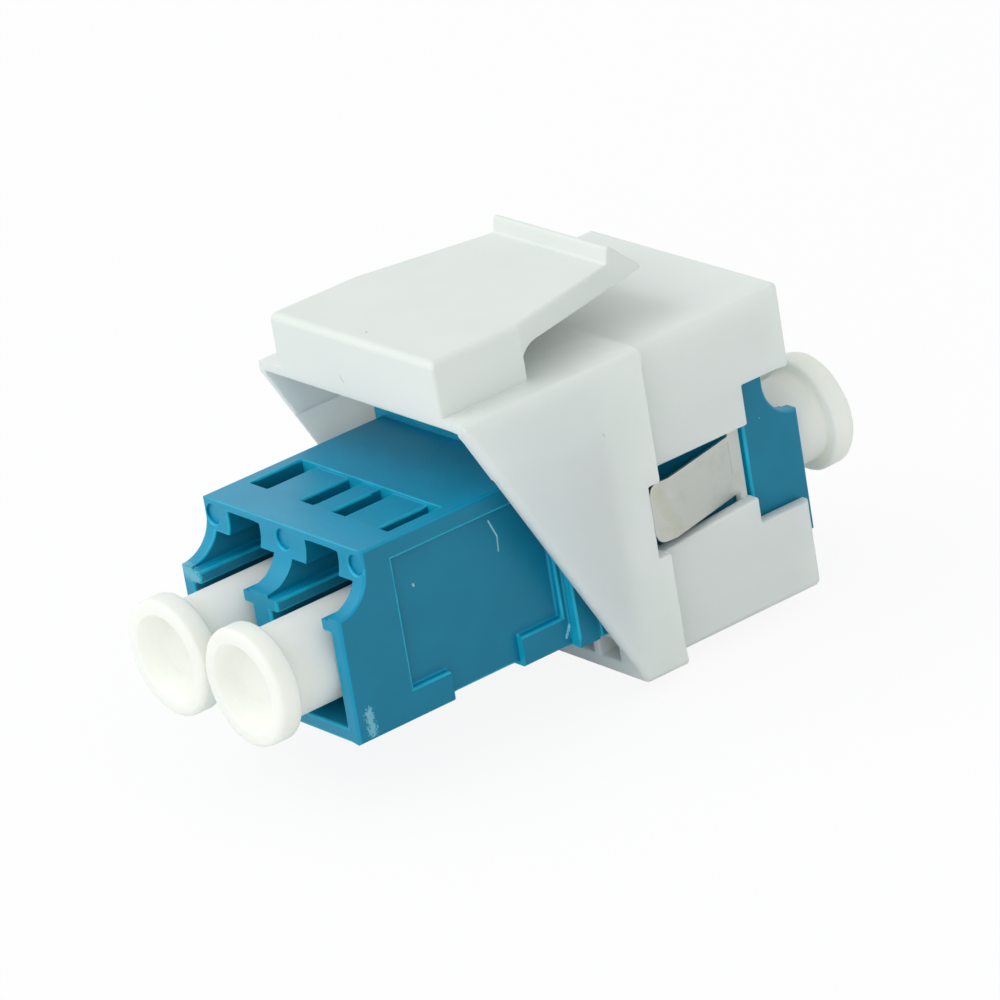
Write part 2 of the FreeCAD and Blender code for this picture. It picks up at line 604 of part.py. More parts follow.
def build_cap(label, side, front):
    """Dust cap turned about its own axis, flange and dish outward along +Y."""
    body = new_body(label)
    section = new_sketch(body, "XY_Plane")
    add_polygon(section, [
        ("0", "sizes.cap_face - sizes.dish_depth"),
        ("sizes.dish_floor_radius - sizes.dish_break", "sizes.cap_face - sizes.dish_depth"),
        ("sizes.dish_floor_radius", "sizes.cap_face - sizes.dish_depth + sizes.dish_break"),
        ("sizes.dish_radius", "sizes.cap_face"),
        ("sizes.cap_flange_radius - sizes.cap_rim_break", "sizes.cap_face"),
        ("sizes.cap_flange_radius", "sizes.cap_face - sizes.cap_rim_break"),
        ("sizes.cap_flange_radius", "sizes.cap_face - sizes.cap_flange"),
        ("sizes.cap_tube_radius", "sizes.cap_face - sizes.cap_flange"),
        ("sizes.cap_tube_radius", "sizes.cap_end + sizes.cap_lead"),
        ("sizes.cap_tube_radius - sizes.cap_lead_break", "sizes.cap_end"),
        ("sizes.cap_bore_radius", "sizes.cap_end"),
        ("sizes.cap_bore_radius", "sizes.cap_face - sizes.dish_depth - sizes.cap_web"),
        ("0", "sizes.cap_face - sizes.dish_depth - sizes.cap_web"),
    ])
    turned = body.newObject("PartDesign::Revolution", label + "_revolution")
    turned.Profile = section
    turned.ReferenceAxis = (section, ["V_Axis"])
    turned.Angle = 360
    turn = 0 if front else 180
    body.Placement = FreeCAD.Placement(Vector(0, 0, 0), FreeCAD.Rotation(Vector(0, 0, 1), turn))
    body.setExpression(".Placement.Base.x", "%d * 0.5 * sizes.port_pitch" % side)
    body.setExpression(".Placement.Base.y", "-sizes.weld_plane")
    body.setExpression(".Placement.Base.z", "sizes.port_axis")


def build_clip():
    """Spring clip: one folded strip under the front half, with a sprung leaf at each side."""
    body = new_body("spring_clip")
    plate = "(sizes.body_half_width - sizes.panel_depth + sizes.strip)"
    inner = "(sizes.body_half_width - sizes.panel_depth)"
    low = "(sizes.body_floor + sizes.floor_relief - sizes.strip)"
    back = "(-sizes.weld_plane + sizes.tab_near + sizes.clip_inset)"
    front = "(-sizes.weld_plane + sizes.tab_far - sizes.clip_inset)"
    band_low = "(sizes.tab_top + sizes.clip_lift)"

    saddle = new_sketch(body, "XZ_Plane", "-" + front)
    add_polygon(saddle, [
        ("-" + plate, low),
        (plate, low),
        (plate, "sizes.clip_band_top"),
        (inner, "sizes.clip_band_top"),
        (inner, low + " + sizes.strip"),
        ("-" + inner, low + " + sizes.strip"),
        ("-" + inner, "sizes.clip_band_top"),
        ("-" + plate, "sizes.clip_band_top"),
    ])
    feature(body, "Pad", saddle, front + " - " + back)
    under = size(low)
    fold = size(plate)
    round_edges(body, lambda edge: at(edge.ZMin, edge.ZMax, under) and on_side(edge, fold),
                "sizes.clip_bend")

    for sign in (-1, 1):
        normal = "-" if sign < 0 else ""
        post = new_sketch(body, "YZ_Plane", normal + inner)
        add_polygon(post, [
            (front, band_low),
            ("sizes.clip_post_front", band_low),
            ("sizes.clip_post_front", "sizes.clip_post_top"),
            ("sizes.clip_post_back", "sizes.clip_post_top"),
            ("sizes.clip_post_back", "sizes.clip_band_top"),
            (front, "sizes.clip_band_top"),
        ])
        feature(body, "Pad", post, "sizes.strip", backward=sign < 0)
        leaf = new_sketch(body, "XY_Plane", "sizes.leaf_low")
        edge = "%d * " % sign
        add_polygon(leaf, [
            (edge + inner, "sizes.clip_post_back + sizes.leaf_root"),
            (edge + plate, "sizes.clip_post_back + sizes.leaf_root"),
            (edge + plate, "sizes.clip_post_back"),
            (edge + "(%s + sizes.leaf_flare)" % plate, "sizes.clip_post_back - sizes.leaf_run"),
            (edge + "(%s + sizes.leaf_flare)" % inner,
             "sizes.clip_post_back - sizes.leaf_run - sizes.leaf_shift"),
            (edge + inner, "sizes.clip_post_back - sizes.leaf_shift"),
        ])
        feature(body, "Pad", leaf, "sizes.leaf_high - sizes.leaf_low")


def check_and_export():
    document.recompute()
    for item in document.Objects:
        if "Invalid" in item.State or "Error" in item.State:
            raise RuntimeError("%s is %s" % (item.Name, item.State))
    os.makedirs("parts", exist_ok=True)
    for name, body in built.items():
        shape = body.Shape
        if shape.isNull() or not shape.isValid() or len(shape.Solids) != 1:
            raise RuntimeError("bad shape on " + name)
        shape.exportStep("parts/%s.step" % name)
        print("%-20s %9.3f mm3" % (name, shape.Volume))


fill_sheet()
build_carrier()
build_latch()
build_half("adapter_back_half", 0)
build_half("adapter_front_half", 180)
build_sleeve("sleeve_left", -1)
build_sleeve("sleeve_right", 1)
build_clip()
for cap_label, cap_side, at_front in CAP_PLACES:
    build_cap(cap_label, cap_side, at_front)
check_and_export()
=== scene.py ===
"""Looks of a duplex fibre adapter in its keystone carrier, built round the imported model.

Lengths in the classes are millimetres; MM turns them into the metres of the row frame:
+X across the two ports, +Y out through the wall plate, +Z up towards the snap latch.
"""
from __future__ import annotations

import logging
import math
from dataclasses import dataclass, field
from enum import Enum
from typing import Callable, Sequence

import bmesh
import bpy
from mathutils import Matrix, Vector
from mathutils.bvhtree import BVHTree
from mathutils.geometry import intersect_point_line
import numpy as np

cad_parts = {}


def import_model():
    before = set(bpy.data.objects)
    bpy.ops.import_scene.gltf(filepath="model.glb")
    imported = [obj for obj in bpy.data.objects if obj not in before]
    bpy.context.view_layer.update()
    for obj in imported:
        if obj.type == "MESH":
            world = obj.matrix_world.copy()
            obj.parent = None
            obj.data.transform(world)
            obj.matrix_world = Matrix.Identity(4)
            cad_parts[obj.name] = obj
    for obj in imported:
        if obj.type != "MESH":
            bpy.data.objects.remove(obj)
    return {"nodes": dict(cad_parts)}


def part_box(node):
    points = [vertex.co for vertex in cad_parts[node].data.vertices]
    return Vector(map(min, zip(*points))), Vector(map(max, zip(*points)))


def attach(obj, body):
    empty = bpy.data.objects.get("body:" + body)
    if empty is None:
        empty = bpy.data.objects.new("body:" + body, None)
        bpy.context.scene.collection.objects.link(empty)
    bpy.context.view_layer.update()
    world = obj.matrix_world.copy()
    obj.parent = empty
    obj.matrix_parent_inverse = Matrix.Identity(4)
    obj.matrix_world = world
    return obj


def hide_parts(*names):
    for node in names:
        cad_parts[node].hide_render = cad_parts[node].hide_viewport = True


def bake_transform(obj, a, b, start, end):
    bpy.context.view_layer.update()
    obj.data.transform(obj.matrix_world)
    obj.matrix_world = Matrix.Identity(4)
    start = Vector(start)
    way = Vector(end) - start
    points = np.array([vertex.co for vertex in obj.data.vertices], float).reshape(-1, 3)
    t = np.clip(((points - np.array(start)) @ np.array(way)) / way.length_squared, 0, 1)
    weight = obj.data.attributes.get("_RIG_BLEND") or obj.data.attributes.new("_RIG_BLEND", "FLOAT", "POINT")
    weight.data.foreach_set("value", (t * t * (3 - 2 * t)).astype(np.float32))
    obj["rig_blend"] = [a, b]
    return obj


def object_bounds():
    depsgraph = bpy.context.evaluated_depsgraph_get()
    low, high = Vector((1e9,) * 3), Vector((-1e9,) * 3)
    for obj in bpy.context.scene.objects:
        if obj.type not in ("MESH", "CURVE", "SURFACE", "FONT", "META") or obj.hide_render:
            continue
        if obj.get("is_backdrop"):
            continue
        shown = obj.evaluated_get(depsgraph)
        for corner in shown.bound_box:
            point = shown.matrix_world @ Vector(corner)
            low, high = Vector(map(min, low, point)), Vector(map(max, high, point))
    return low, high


LOG = logging.getLogger("adapter")
MM = 0.001
# Mask of the painted edge highlight.
EDGE_LAYER = "edge_share"  # face attribute: 1 on the rounding of an outer edge

# Joining the facets of a CAD node.
WELD = 1e-7  # metres within which corners are one
FLAT_ANGLE = math.radians(0.6)  # facets turned by less than this are one face
STRIP_ANGLE = math.radians(6)  # triangles turned by less than this are joined in pairs

# Rounding its edges and shading them.
SHARP_ANGLE = math.radians(32)  # edges sharper than this are rounded
CREASE_ANGLE = math.radians(50)  # faces turned by more than this are shaded apart
EDGE_TURN = math.cos(math.radians(12))  # a face turned further from its skin is a rounding
EDGE_FACES = 2  # faces across a rounding
FACE_SHARE = 0.4  # share of the narrower face that a rounding may take
END_SHARE = 4.0  # length of the parted ends of an edge, in widths of the rounding
CALM_SHARE = 0.55  # a point this share of a width off the skin has strayed
CALM_REACH = 2.5  # widths from a strayed point within which edges are calmed
CALM_STEP = 0.4  # share of its rounding that a calmed edge keeps
CALM_ROUNDS = 6  # times that a rounded mesh is looked over
FOLD_LIMIT = -0.2  # a face that looks back at its skin by more than this is folded
SLIVER_AREA = 1e-11  # square metres below which a triangle isn't looked at


class Body(Enum):
    """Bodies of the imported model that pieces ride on."""

    ADAPTER = "adapter"
    LATCH = "latch"


class Slot(Enum):
    """Names of material slots; no piece in this script takes them."""

    WHITE = "white_moulding"
    BLUE = "blue_moulding"
    CAP = "white_cap"
    STEEL = "spring_steel"


class End(Enum):
    """Ends of the adapter, each with the direction along Y in which its ports look."""

    BACK = -1
    FRONT = 1


# --------------------------------------------------------------------------- node graphs


class Graph:
    """Adds nodes to one node tree and links them."""

    def __init__(self, tree: bpy.types.NodeTree) -> None:
        """Keep the tree that nodes are added to."""
        self.tree = tree

    def add(self, kind: str, inputs: dict | None = None, **settings: object) -> bpy.types.Node:
        """Add one node.

        Args:
            kind: The node's type, such as ShaderNodeTexNoise.
            inputs: Socket name or index to a constant or to the socket that feeds it.
            settings: Properties of the node itself.

        Returns:
            The new node.
        """
        node = self.tree.nodes.new(kind)
        for name, value in settings.items():
            setattr(node, name, value)
        self.feed(node, inputs or {})
        return node

    def feed(self, node: bpy.types.Node, inputs: dict) -> None:
        """Set or link inputs of a node.

        Args:
            node: The node.
            inputs: Socket name or index to a constant or to the socket that feeds it.
        """
        for key, value in inputs.items():
            if isinstance(value, bpy.types.NodeSocket):
                self.tree.links.new(value, node.inputs[key])
            else:
                node.inputs[key].default_value = value

    def group(self, tree: bpy.types.NodeTree, inputs: dict) -> bpy.types.Node:
        """Place a node group with its own values."""
        return self.add("ShaderNodeGroup", inputs, node_tree=tree)

    def maths(self, operation: str, first: object, second: object = 0.0,
              clamp: bool = False) -> bpy.types.NodeSocket:
        """Output of a Math node on two values or sockets."""
        node = self.add("ShaderNodeMath", {0: first, 1: second}, operation=operation,
                        use_clamp=clamp)
        return node.outputs[0]

    def fade(self, value: bpy.types.NodeSocket, low: float, high: float, out_low: object = 0.0,
             out_high: object = 1.0) -> bpy.types.NodeSocket:
        """Value mapped smoothly from low..high to out_low..out_high."""
        node = self.add("ShaderNodeMapRange", {"Value": value, "From Min": low, "From Max": high,
                                               "To Min": out_low, "To Max": out_high},
                        interpolation_type="SMOOTHSTEP")
        return node.outputs["Result"]

    def blend(self, factor: object, first: object, second: object) -> bpy.types.NodeSocket:
        """Colour mixed from first to second by factor."""
        node = self.add("ShaderNodeMix", {0: factor, 6: first, 7: second}, data_type="RGBA")
        return node.outputs[2]


def new_group(name: str, inputs: Sequence[tuple[str, str, float | None]],
              outputs: Sequence[tuple[str, str]]) -> tuple[bpy.types.NodeTree, Graph]:
    """Start a shader node group.

    Args:
        name: The group's name.
        inputs: Name, socket type and default of each input; places and colours have none.
        outputs: Name and socket type of each output.

    Returns:
        The group's tree and a graph on it.
    """
    tree = bpy.data.node_groups.new(name, "ShaderNodeTree")
    for socket_name, kind, default in inputs:
        socket = tree.interface.new_socket(socket_name, in_out="INPUT", socket_type=kind)
        if default is not None:
            socket.default_value = default
    for socket_name, kind in outputs:
        tree.interface.new_socket(socket_name, in_out="OUTPUT", socket_type=kind)
    return tree, Graph(tree)


def mould_skin_group() -> bpy.types.NodeTree:
    """Fine grain and slow mottling of a moulded plastic surface.

    Returns:
        The group's tree.
    """
    tree, graph = new_group(
        "mould_skin",
        [("Place", "NodeSocketVector", None), ("Grain Size", "NodeSocketFloat", 0.1),
         ("Mottle Size", "NodeSocketFloat", 3.0), ("Sink Depth", "NodeSocketFloat", 0.4)],
        [("Grain", "NodeSocketFloat"), ("Mottle", "NodeSocketFloat"),
         ("Height", "NodeSocketFloat")])
    given = graph.add("NodeGroupInput").outputs
    fine = graph.add("ShaderNodeTexNoise", {
        "Vector": given["Place"], "Scale": graph.maths("DIVIDE", 1.0, given["Grain Size"]),
        "Detail": 3.0, "Roughness": 0.6})
    slow = graph.add("ShaderNodeTexNoise", {
        "Vector": given["Place"], "Scale": graph.maths("DIVIDE", 1.0, given["Mottle Size"]),
        "Detail": 2.0, "Roughness": 0.5})
    sink = graph.maths("MULTIPLY", slow.outputs["Fac"], given["Sink Depth"])
    height = graph.maths("ADD", fine.outputs["Fac"], sink)
    graph.add("NodeGroupOutput", {"Grain": fine.outputs["Fac"], "Mottle": slow.outputs["Fac"],
                                  "Height": height})
    return tree


def handling_group() -> bpy.types.NodeTree:
    """Dust specks and hair-fine scuffs left by handling.

    Returns:
        The group's tree.
    """
    clean_share = 0.72
    tree, graph = new_group(
        "handling_marks",
        [("Place", "NodeSocketVector", None), ("Speck Spacing", "NodeSocketFloat", 1.2),
         ("Speck Size", "NodeSocketFloat", 0.05), ("Scuff Amount", "NodeSocketFloat", 0.5)],
        [("Specks", "NodeSocketFloat"), ("Scuffs", "NodeSocketFloat")])
    given = graph.add("NodeGroupInput").outputs
    cells = graph.add("ShaderNodeTexVoronoi", {
        "Vector": given["Place"],
        "Scale": graph.maths("DIVIDE", 1.0, given["Speck Spacing"])})
    reach = graph.maths("DIVIDE", given["Speck Size"], given["Speck Spacing"])
    near_centre = graph.maths("LESS_THAN", cells.outputs["Distance"], reach)
    pick = graph.add("ShaderNodeSeparateColor", {"Color": cells.outputs["Color"]})
    chosen = graph.maths("GREATER_THAN", pick.outputs[0], clean_share)
    specks = graph.maths("MULTIPLY", near_centre, chosen)
    stretched = graph.add("ShaderNodeMapping", {"Vector": given["Place"],
                                                "Scale": (0.5, 9.0, 4.0),
                                                "Rotation": (0.3, 0.5, 0.4)})
    hairs = graph.add("ShaderNodeTexNoise", {"Vector": stretched.outputs[0], "Scale": 1.6,
                                             "Detail": 4.0, "Roughness": 0.7})
    patches = graph.add("ShaderNodeTexNoise", {"Vector": given["Place"], "Scale": 0.35,
                                               "Detail": 1.0})
    lines = graph.fade(hairs.outputs["Fac"], 0.62, 0.74)
    here = graph.fade(patches.outputs["Fac"], 0.5, 0.72)
    scuffs = graph.maths("MULTIPLY", graph.maths("MULTIPLY", lines, here),
                         given["Scuff Amount"])
    graph.add("NodeGroupOutput", {"Specks": specks, "Scuffs": scuffs})
    return tree


def stroke_group() -> bpy.types.NodeTree:
    """Soft-edged stroke between two places, slightly ragged; for scratches, scuffs and specks.

    Returns:
        The group's tree.
    """
    least_square = 1e-6
    tree, graph = new_group(
        "stroke",
        [("Place", "NodeSocketVector", None), ("Start", "NodeSocketVector", None),
         ("End", "NodeSocketVector", None), ("Half Width", "NodeSocketFloat", 0.05),
         ("Ragged", "NodeSocketFloat", 0.3)],
        [("Mask", "NodeSocketFloat")])
    given = graph.add("NodeGroupInput").outputs

    def vector(operation: str, first: object, second: object) -> bpy.types.Node:
        """Vector Math node on two vectors."""
        return graph.add("ShaderNodeVectorMath", {0: first, 1: second}, operation=operation)

    from_start = vector("SUBTRACT", given["Place"], given["Start"]).outputs[0]
    whole = vector("SUBTRACT", given["End"], given["Start"]).outputs[0]
    along = vector("DOT_PRODUCT", from_start, whole).outputs["Value"]
    square = vector("DOT_PRODUCT", whole, whole).outputs["Value"]
    divisor = graph.maths("MAXIMUM", square, least_square)
    share = graph.maths("DIVIDE", along, divisor, clamp=True)
    reach = graph.add("ShaderNodeVectorMath", {0: whole, "Scale": share}, operation="SCALE")
    off = vector("SUBTRACT", from_start, reach.outputs[0]).outputs[0]
    gap = vector("LENGTH", off, (0.0, 0.0, 0.0)).outputs["Value"]
    rough = graph.add("ShaderNodeTexNoise", {"Vector": given["Place"], "Scale": 9.0,
                                             "Detail": 3.0, "Roughness": 0.7})
    wander = graph.maths("MULTIPLY", graph.maths("SUBTRACT", rough.outputs["Fac"], 0.5),
                         given["Ragged"])
    relative = graph.maths("ADD", graph.maths("DIVIDE", gap, given["Half Width"]), wander)
    graph.add("NodeGroupOutput", {"Mask": graph.fade(relative, 0.6, 1.1, 1.0, 0.0)})
    return tree


def painted_edge_highlight_group() -> bpy.types.NodeTree:
    """Painted highlight: colour turned paler and clearer on rounded outer edges, unevenly along them,
    standing in for the light that the roundings catch.

    Returns:
        The group's tree.
    """
    tree, graph = new_group(
        "painted_edge_highlight",
        [("Place", "NodeSocketVector", None), ("Edge Share", "NodeSocketFloat", 0.0),
         ("Amount", "NodeSocketFloat", 0.6), ("Colour", "NodeSocketColor", None),
         ("Highlight Colour", "NodeSocketColor", None)],
        [("Colour", "NodeSocketColor")])
    given = graph.add("NodeGroupInput").outputs
    uneven = graph.add("ShaderNodeTexNoise", {"Vector": given["Place"], "Scale": 0.9,
                                              "Detail": 2.0})
    least = graph.maths("MULTIPLY", given["Amount"], 0.5)
    amount = graph.fade(uneven.outputs["Fac"], 0.3, 0.7, least, given["Amount"])
    # Share of the painted edge highlight on each face.
    highlight_share = graph.maths("MULTIPLY", given["Edge Share"], amount)
    graph.add("NodeGroupOutput", {
        "Colour": graph.blend(highlight_share, given["Colour"], given["Highlight Colour"])})
    return tree


def painted_side_shade_group() -> bpy.types.NodeTree:
    """Painted shade: colour turned darker on faces that look along X, standing in for the dimmer light on
    the flanks.

    Returns:
        The group's tree.
    """
    tree, graph = new_group(
        "painted_flank_shade",
        [("Facing", "NodeSocketVector", None), ("Colour", "NodeSocketColor", None),
         ("Flank Shade", "NodeSocketColor", None)],
        [("Colour", "NodeSocketColor")])
    given = graph.add("NodeGroupInput").outputs
    facing = graph.add("ShaderNodeSeparateXYZ", {"Vector": given["Facing"]})
    flank = graph.fade(graph.maths("ABSOLUTE", facing.outputs["X"]), 0.8, 0.98)
    darker = graph.add("ShaderNodeMix",
                       {0: flank, 6: given["Colour"], 7: given["Flank Shade"]},
                       data_type="RGBA", blend_type="MULTIPLY")
    graph.add("NodeGroupOutput", {"Colour": darker.outputs[2]})
    return tree


@dataclass
class Groups:
    """The node groups that several finishes share."""

    skin: bpy.types.NodeTree = field(default_factory=mould_skin_group)
    handling: bpy.types.NodeTree = field(default_factory=handling_group)
    stroke: bpy.types.NodeTree = field(default_factory=stroke_group)
    painted_edge_highlight: bpy.types.NodeTree = field(default_factory=painted_edge_highlight_group)
    flank: bpy.types.NodeTree = field(default_factory=painted_side_shade_group)


# --------------------------------------------------------------------------- finishes


def clear_nodes(owner: bpy.types.Material | bpy.types.World) -> Graph:
    """Switch a material or a world to nodes and take its standard ones out.

    Args:
        owner: The material or the world.

    Returns:
        A graph on its empty tree.
    """
    owner.use_nodes = True
    owner.node_tree.nodes.clear()
    return Graph(owner.node_tree)


def start_material(name: str) -> tuple[bpy.types.Material, Graph, bpy.types.Node]:
    """Start a material with a Principled shader on its output.

    Args:
        name: The material's name.

    Returns:
        The material, a graph on its tree and the shader.
    """
    material = bpy.data.materials.new(name)
    graph = clear_nodes(material)
    shader = graph.add("ShaderNodeBsdfPrincipled")
    graph.add("ShaderNodeOutputMaterial", {"Surface": shader.outputs[0]})
    return material, graph, shader


def surface_place(graph: Graph) -> bpy.types.NodeSocket:
    """Place on the surface in millimetres of the row frame.

    Args:
        graph: Graph of the material.

    Returns:
        The socket that gives the place.
    """
    place = graph.add("ShaderNodeTexCoord")
    scaled = graph.add("ShaderNodeMapping", {"Vector": place.outputs["Object"],
                                             "Scale": (1 / MM, 1 / MM, 1 / MM)})
    return scaled.outputs[0]


def grain_bump(graph: Graph, height: bpy.types.NodeSocket,
               millimetres: float) -> bpy.types.NodeSocket:
    """Normal of a surface raised by a height from 0 to 1, with its full rise in millimetres."""
    bump = graph.add("ShaderNodeBump", {"Height": height, "Distance": millimetres * MM,
                                        "Strength": 1.0})
    return bump.outputs[0]


@dataclass(frozen=True)
class Stroke:
    """One mark on a surface: a line between two places, lengths in millimetres."""

    start: tuple[float, float, float]
    end: tuple[float, float, float]
    half_width: float
    colour: tuple[float, float, float]
    strength: float = 1.0
    ragged: float = 0.3


def draw_strokes(graph: Graph, group: bpy.types.NodeTree, place: bpy.types.NodeSocket,
                 strokes: Sequence[Stroke], colour: bpy.types.NodeSocket) -> bpy.types.NodeSocket:
    """Lay strokes over a colour, one after another.

    Args:
        graph: Graph of the material.
        group: The stroke group.
        place: Place on the surface in millimetres.
        strokes: The strokes, the last on top.
        colour: Colour below them.

    Returns:
        The colour with the strokes on it.
    """
    for stroke in strokes:
        mask = graph.group(group, {
            "Place": place, "Start": stroke.start, "End": stroke.end,
            "Half Width": stroke.half_width, "Ragged": stroke.ragged})
        amount = graph.maths("MULTIPLY", mask.outputs["Mask"], stroke.strength)
        colour = graph.blend(amount, colour, (*stroke.colour, 1.0))
    return colour


@dataclass(frozen=True)
class Plastic:
    """A moulded plastic: colours are linear, lengths in millimetres.

    The skin drifts between colour and shade, and roughness holds its smoothest and its
    roughest grain. glow is the share of light that soaks in; where glow_top is given, it
    fades out between those two heights, towards the solid latch.
    """

    name: str
    colour: tuple[float, float, float]
    shade: tuple[float, float, float]
    mark: tuple[float, float, float]
    roughness: tuple[float, float]
    specular: float = 0.5
    sheen_tint: tuple[float, float, float] = (1.0, 1.0, 1.0)
    glow: float = 0.0
    glow_colour: tuple[float, float, float] = (1.0, 0.9, 0.8)
    glow_depth: float = 0.6
    grain_size: float = 0.09
    grain_height: float = 0.004
    mottle_size: float = 3.0
    speck_spacing: float = 1.6
    speck_size: float = 0.05
    scuff: float = 0.4
    worn_roughness: float = 0.2
    # Painted shade on faces that look along X, then the colour and amount of a painted highlight on rounded
    # outer edges.
    painted_flank_shade: tuple[float, float, float] = (1.0, 1.0, 1.0)
    edge_highlight_colour: tuple[float, float, float] = (0.85, 0.87, 0.85)
    edge_highlight_amount: float = 0.0
    glow_top: tuple[float, float] | None = None
    strokes: tuple[Stroke, ...] = ()

    def build(self, groups: Groups) -> bpy.types.Material:
        """Make the material.

        Args:
            groups: Shared node groups.

        Returns:
            The finished material.
        """
        material, graph, shader = start_material(self.name)
        place = surface_place(graph)
        skin = graph.group(groups.skin, {
            "Place": place, "Grain Size": self.grain_size, "Mottle Size": self.mottle_size})
        marks = graph.group(groups.handling, {
            "Place": place, "Speck Spacing": self.speck_spacing,
            "Speck Size": self.speck_size, "Scuff Amount": self.scuff})
        worn = graph.maths("MAXIMUM", marks.outputs["Specks"], marks.outputs["Scuffs"])
        mottle = graph.fade(skin.outputs["Mottle"], 0.35, 0.65)
        mottled = graph.blend(mottle, (*self.colour, 1.0), (*self.shade, 1.0))
        # Painted shade on faces that look along X, then a painted highlight on rounded outer edges.
        flanked = graph.group(groups.flank, {
            "Facing": graph.add("ShaderNodeTexCoord").outputs["Normal"],
            "Colour": mottled, "Flank Shade": (*self.painted_flank_shade, 1.0)})
        edged = graph.group(groups.painted_edge_highlight, {
            "Place": place, "Amount": self.edge_highlight_amount,
            "Edge Share": graph.add("ShaderNodeAttribute",
                                    attribute_name=EDGE_LAYER).outputs["Fac"],
            "Colour": flanked.outputs["Colour"], "Highlight Colour": (*self.edge_highlight_colour, 1.0)})
        marked = graph.blend(worn, edged.outputs["Colour"], (*self.mark, 1.0))
        grain = graph.fade(skin.outputs["Grain"], 0.3, 0.7, *self.roughness)
        duller = graph.maths("MULTIPLY", worn, self.worn_roughness)
        graph.feed(shader, {
            "Base Color": draw_strokes(graph, groups.stroke, place, self.strokes, marked),
            "Roughness": graph.maths("ADD", grain, duller, clamp=True),
            "Normal": grain_bump(graph, skin.outputs["Height"], self.grain_height),
            "Specular IOR Level": self.specular,
            "Specular Tint": (*self.sheen_tint, 1.0),
            "Subsurface Weight": self.soaked_light(graph, place),
            "Subsurface Radius": self.glow_colour,
            "Subsurface Scale": self.glow_depth * MM})
        return material

    def soaked_light(self, graph: Graph,
                     place: bpy.types.NodeSocket) -> bpy.types.NodeSocket | float:
        """How much light soaks in, fading out upwards where glow_top says so.

        Args:
            graph: Graph of the material.
            place: Place on the surface in millimetres.

        Returns:
            A socket where it fades, a plain number elsewhere.
        """
        if not self.glow_top:
            return self.glow
        height = graph.add("ShaderNodeSeparateXYZ", {"Vector": place}).outputs["Z"]
        return graph.fade(height, *self.glow_top, self.glow, 0.0)


@dataclass(frozen=True)
class SatinSteel:
    """Rolled spring steel with a satin nickel finish and handling stains."""

    name: str = "satin_spring_steel"
    colour: tuple[float, float, float] = (0.60, 0.61, 0.58)
    stain: tuple[float, float, float] = (0.53, 0.53, 0.49)
    roughness: tuple[float, float] = (0.28, 0.42)
    line_height: float = 0.0015
    line_density: tuple[float, float, float] = (6.0, 0.35, 14.0)
    grain_size: float = 0.25
    mottle_size: float = 1.3
    speck_spacing: float = 0.5
    speck_size: float = 0.03
    scuff: float = 0.8
    strokes: tuple[Stroke, ...] = (
        # Dark line along the fold of the right leaf.
        Stroke((6.22, 6.0, 9.0), (6.22, 6.02, 7.3), 0.045, (0.36, 0.37, 0.34), 0.6, 1.0),
        # Two stains near its tip.
        Stroke((7.5, 0.35, 8.7), (7.4, 1.1, 6.5), 0.45, (0.53, 0.53, 0.42), 0.5, 3.0),
        Stroke((7.45, 0.3, 6.7), (7.2, 1.7, 6.4), 0.3, (0.56, 0.54, 0.42), 0.4, 3.0))

    def build(self, groups: Groups) -> bpy.types.Material:
        """Make the material, with rolling lines along the strip.

        Args:
            groups: Shared node groups.

        Returns:
            The finished material.
        """
        material, graph, shader = start_material(self.name)
        place = surface_place(graph)
        rolled = graph.add("ShaderNodeMapping", {"Vector": place, "Scale": self.line_density})
        lines = graph.add("ShaderNodeTexNoise", {"Vector": rolled.outputs[0], "Scale": 1.0,
                                                 "Detail": 4.0, "Roughness": 0.65})
        marks = graph.group(groups.handling, {
            "Place": place, "Speck Spacing": self.speck_spacing,
            "Speck Size": self.speck_size, "Scuff Amount": self.scuff})
        skin = graph.group(groups.skin, {
            "Place": place, "Grain Size": self.grain_size, "Mottle Size": self.mottle_size})
        stained = graph.fade(skin.outputs["Mottle"], 0.5, 0.8, 0.0, 0.6)
        worn = graph.maths("MAXIMUM", marks.outputs["Specks"], stained)
        base = graph.blend(worn, (*self.colour, 1.0), (*self.stain, 1.0))
        graph.feed(shader, {
            "Base Color": draw_strokes(graph, groups.stroke, place, self.strokes, base),
            "Roughness": graph.fade(lines.outputs["Fac"], 0.3, 0.7, *self.roughness),
            "Normal": grain_bump(graph, lines.outputs["Fac"], self.line_height),
            "Metallic": 1.0})
        return material


WHITE_MOULDING = Plastic(
    name="white_polycarbonate", colour=(0.79, 0.812, 0.793), shade=(0.77, 0.797, 0.777),
    mark=(0.73, 0.75, 0.73), roughness=(0.38, 0.46), specular=0.45, glow=0.7,
    glow_colour=(1.0, 0.97, 0.9), glow_depth=2.2, glow_top=(15.6, 17.2), grain_size=0.12,
    grain_height=0.003, mottle_size=5.0, speck_spacing=3.2, speck_size=0.03, scuff=0.25,
    # Rounded outer edges get a pale painted highlight.
    edge_highlight_amount=0.6,
    strokes=(
        # Specks on the top of the latch, under its root block and on the skirt's flank.
        Stroke((0.23, -10.01, 19.6), (0.27, -9.99, 19.6), 0.06, (0.3, 0.3, 0.28), 0.8, 1.0),
        Stroke((-1.25, -10.95, 17.33), (-1.04, -10.95, 17.06), 0.04, (0.5, 0.5, 0.48), 0.8),
        Stroke((8.35, -2.99, 13.36), (8.35, -2.9, 13.2), 0.05, (0.55, 0.55, 0.52), 0.6)))
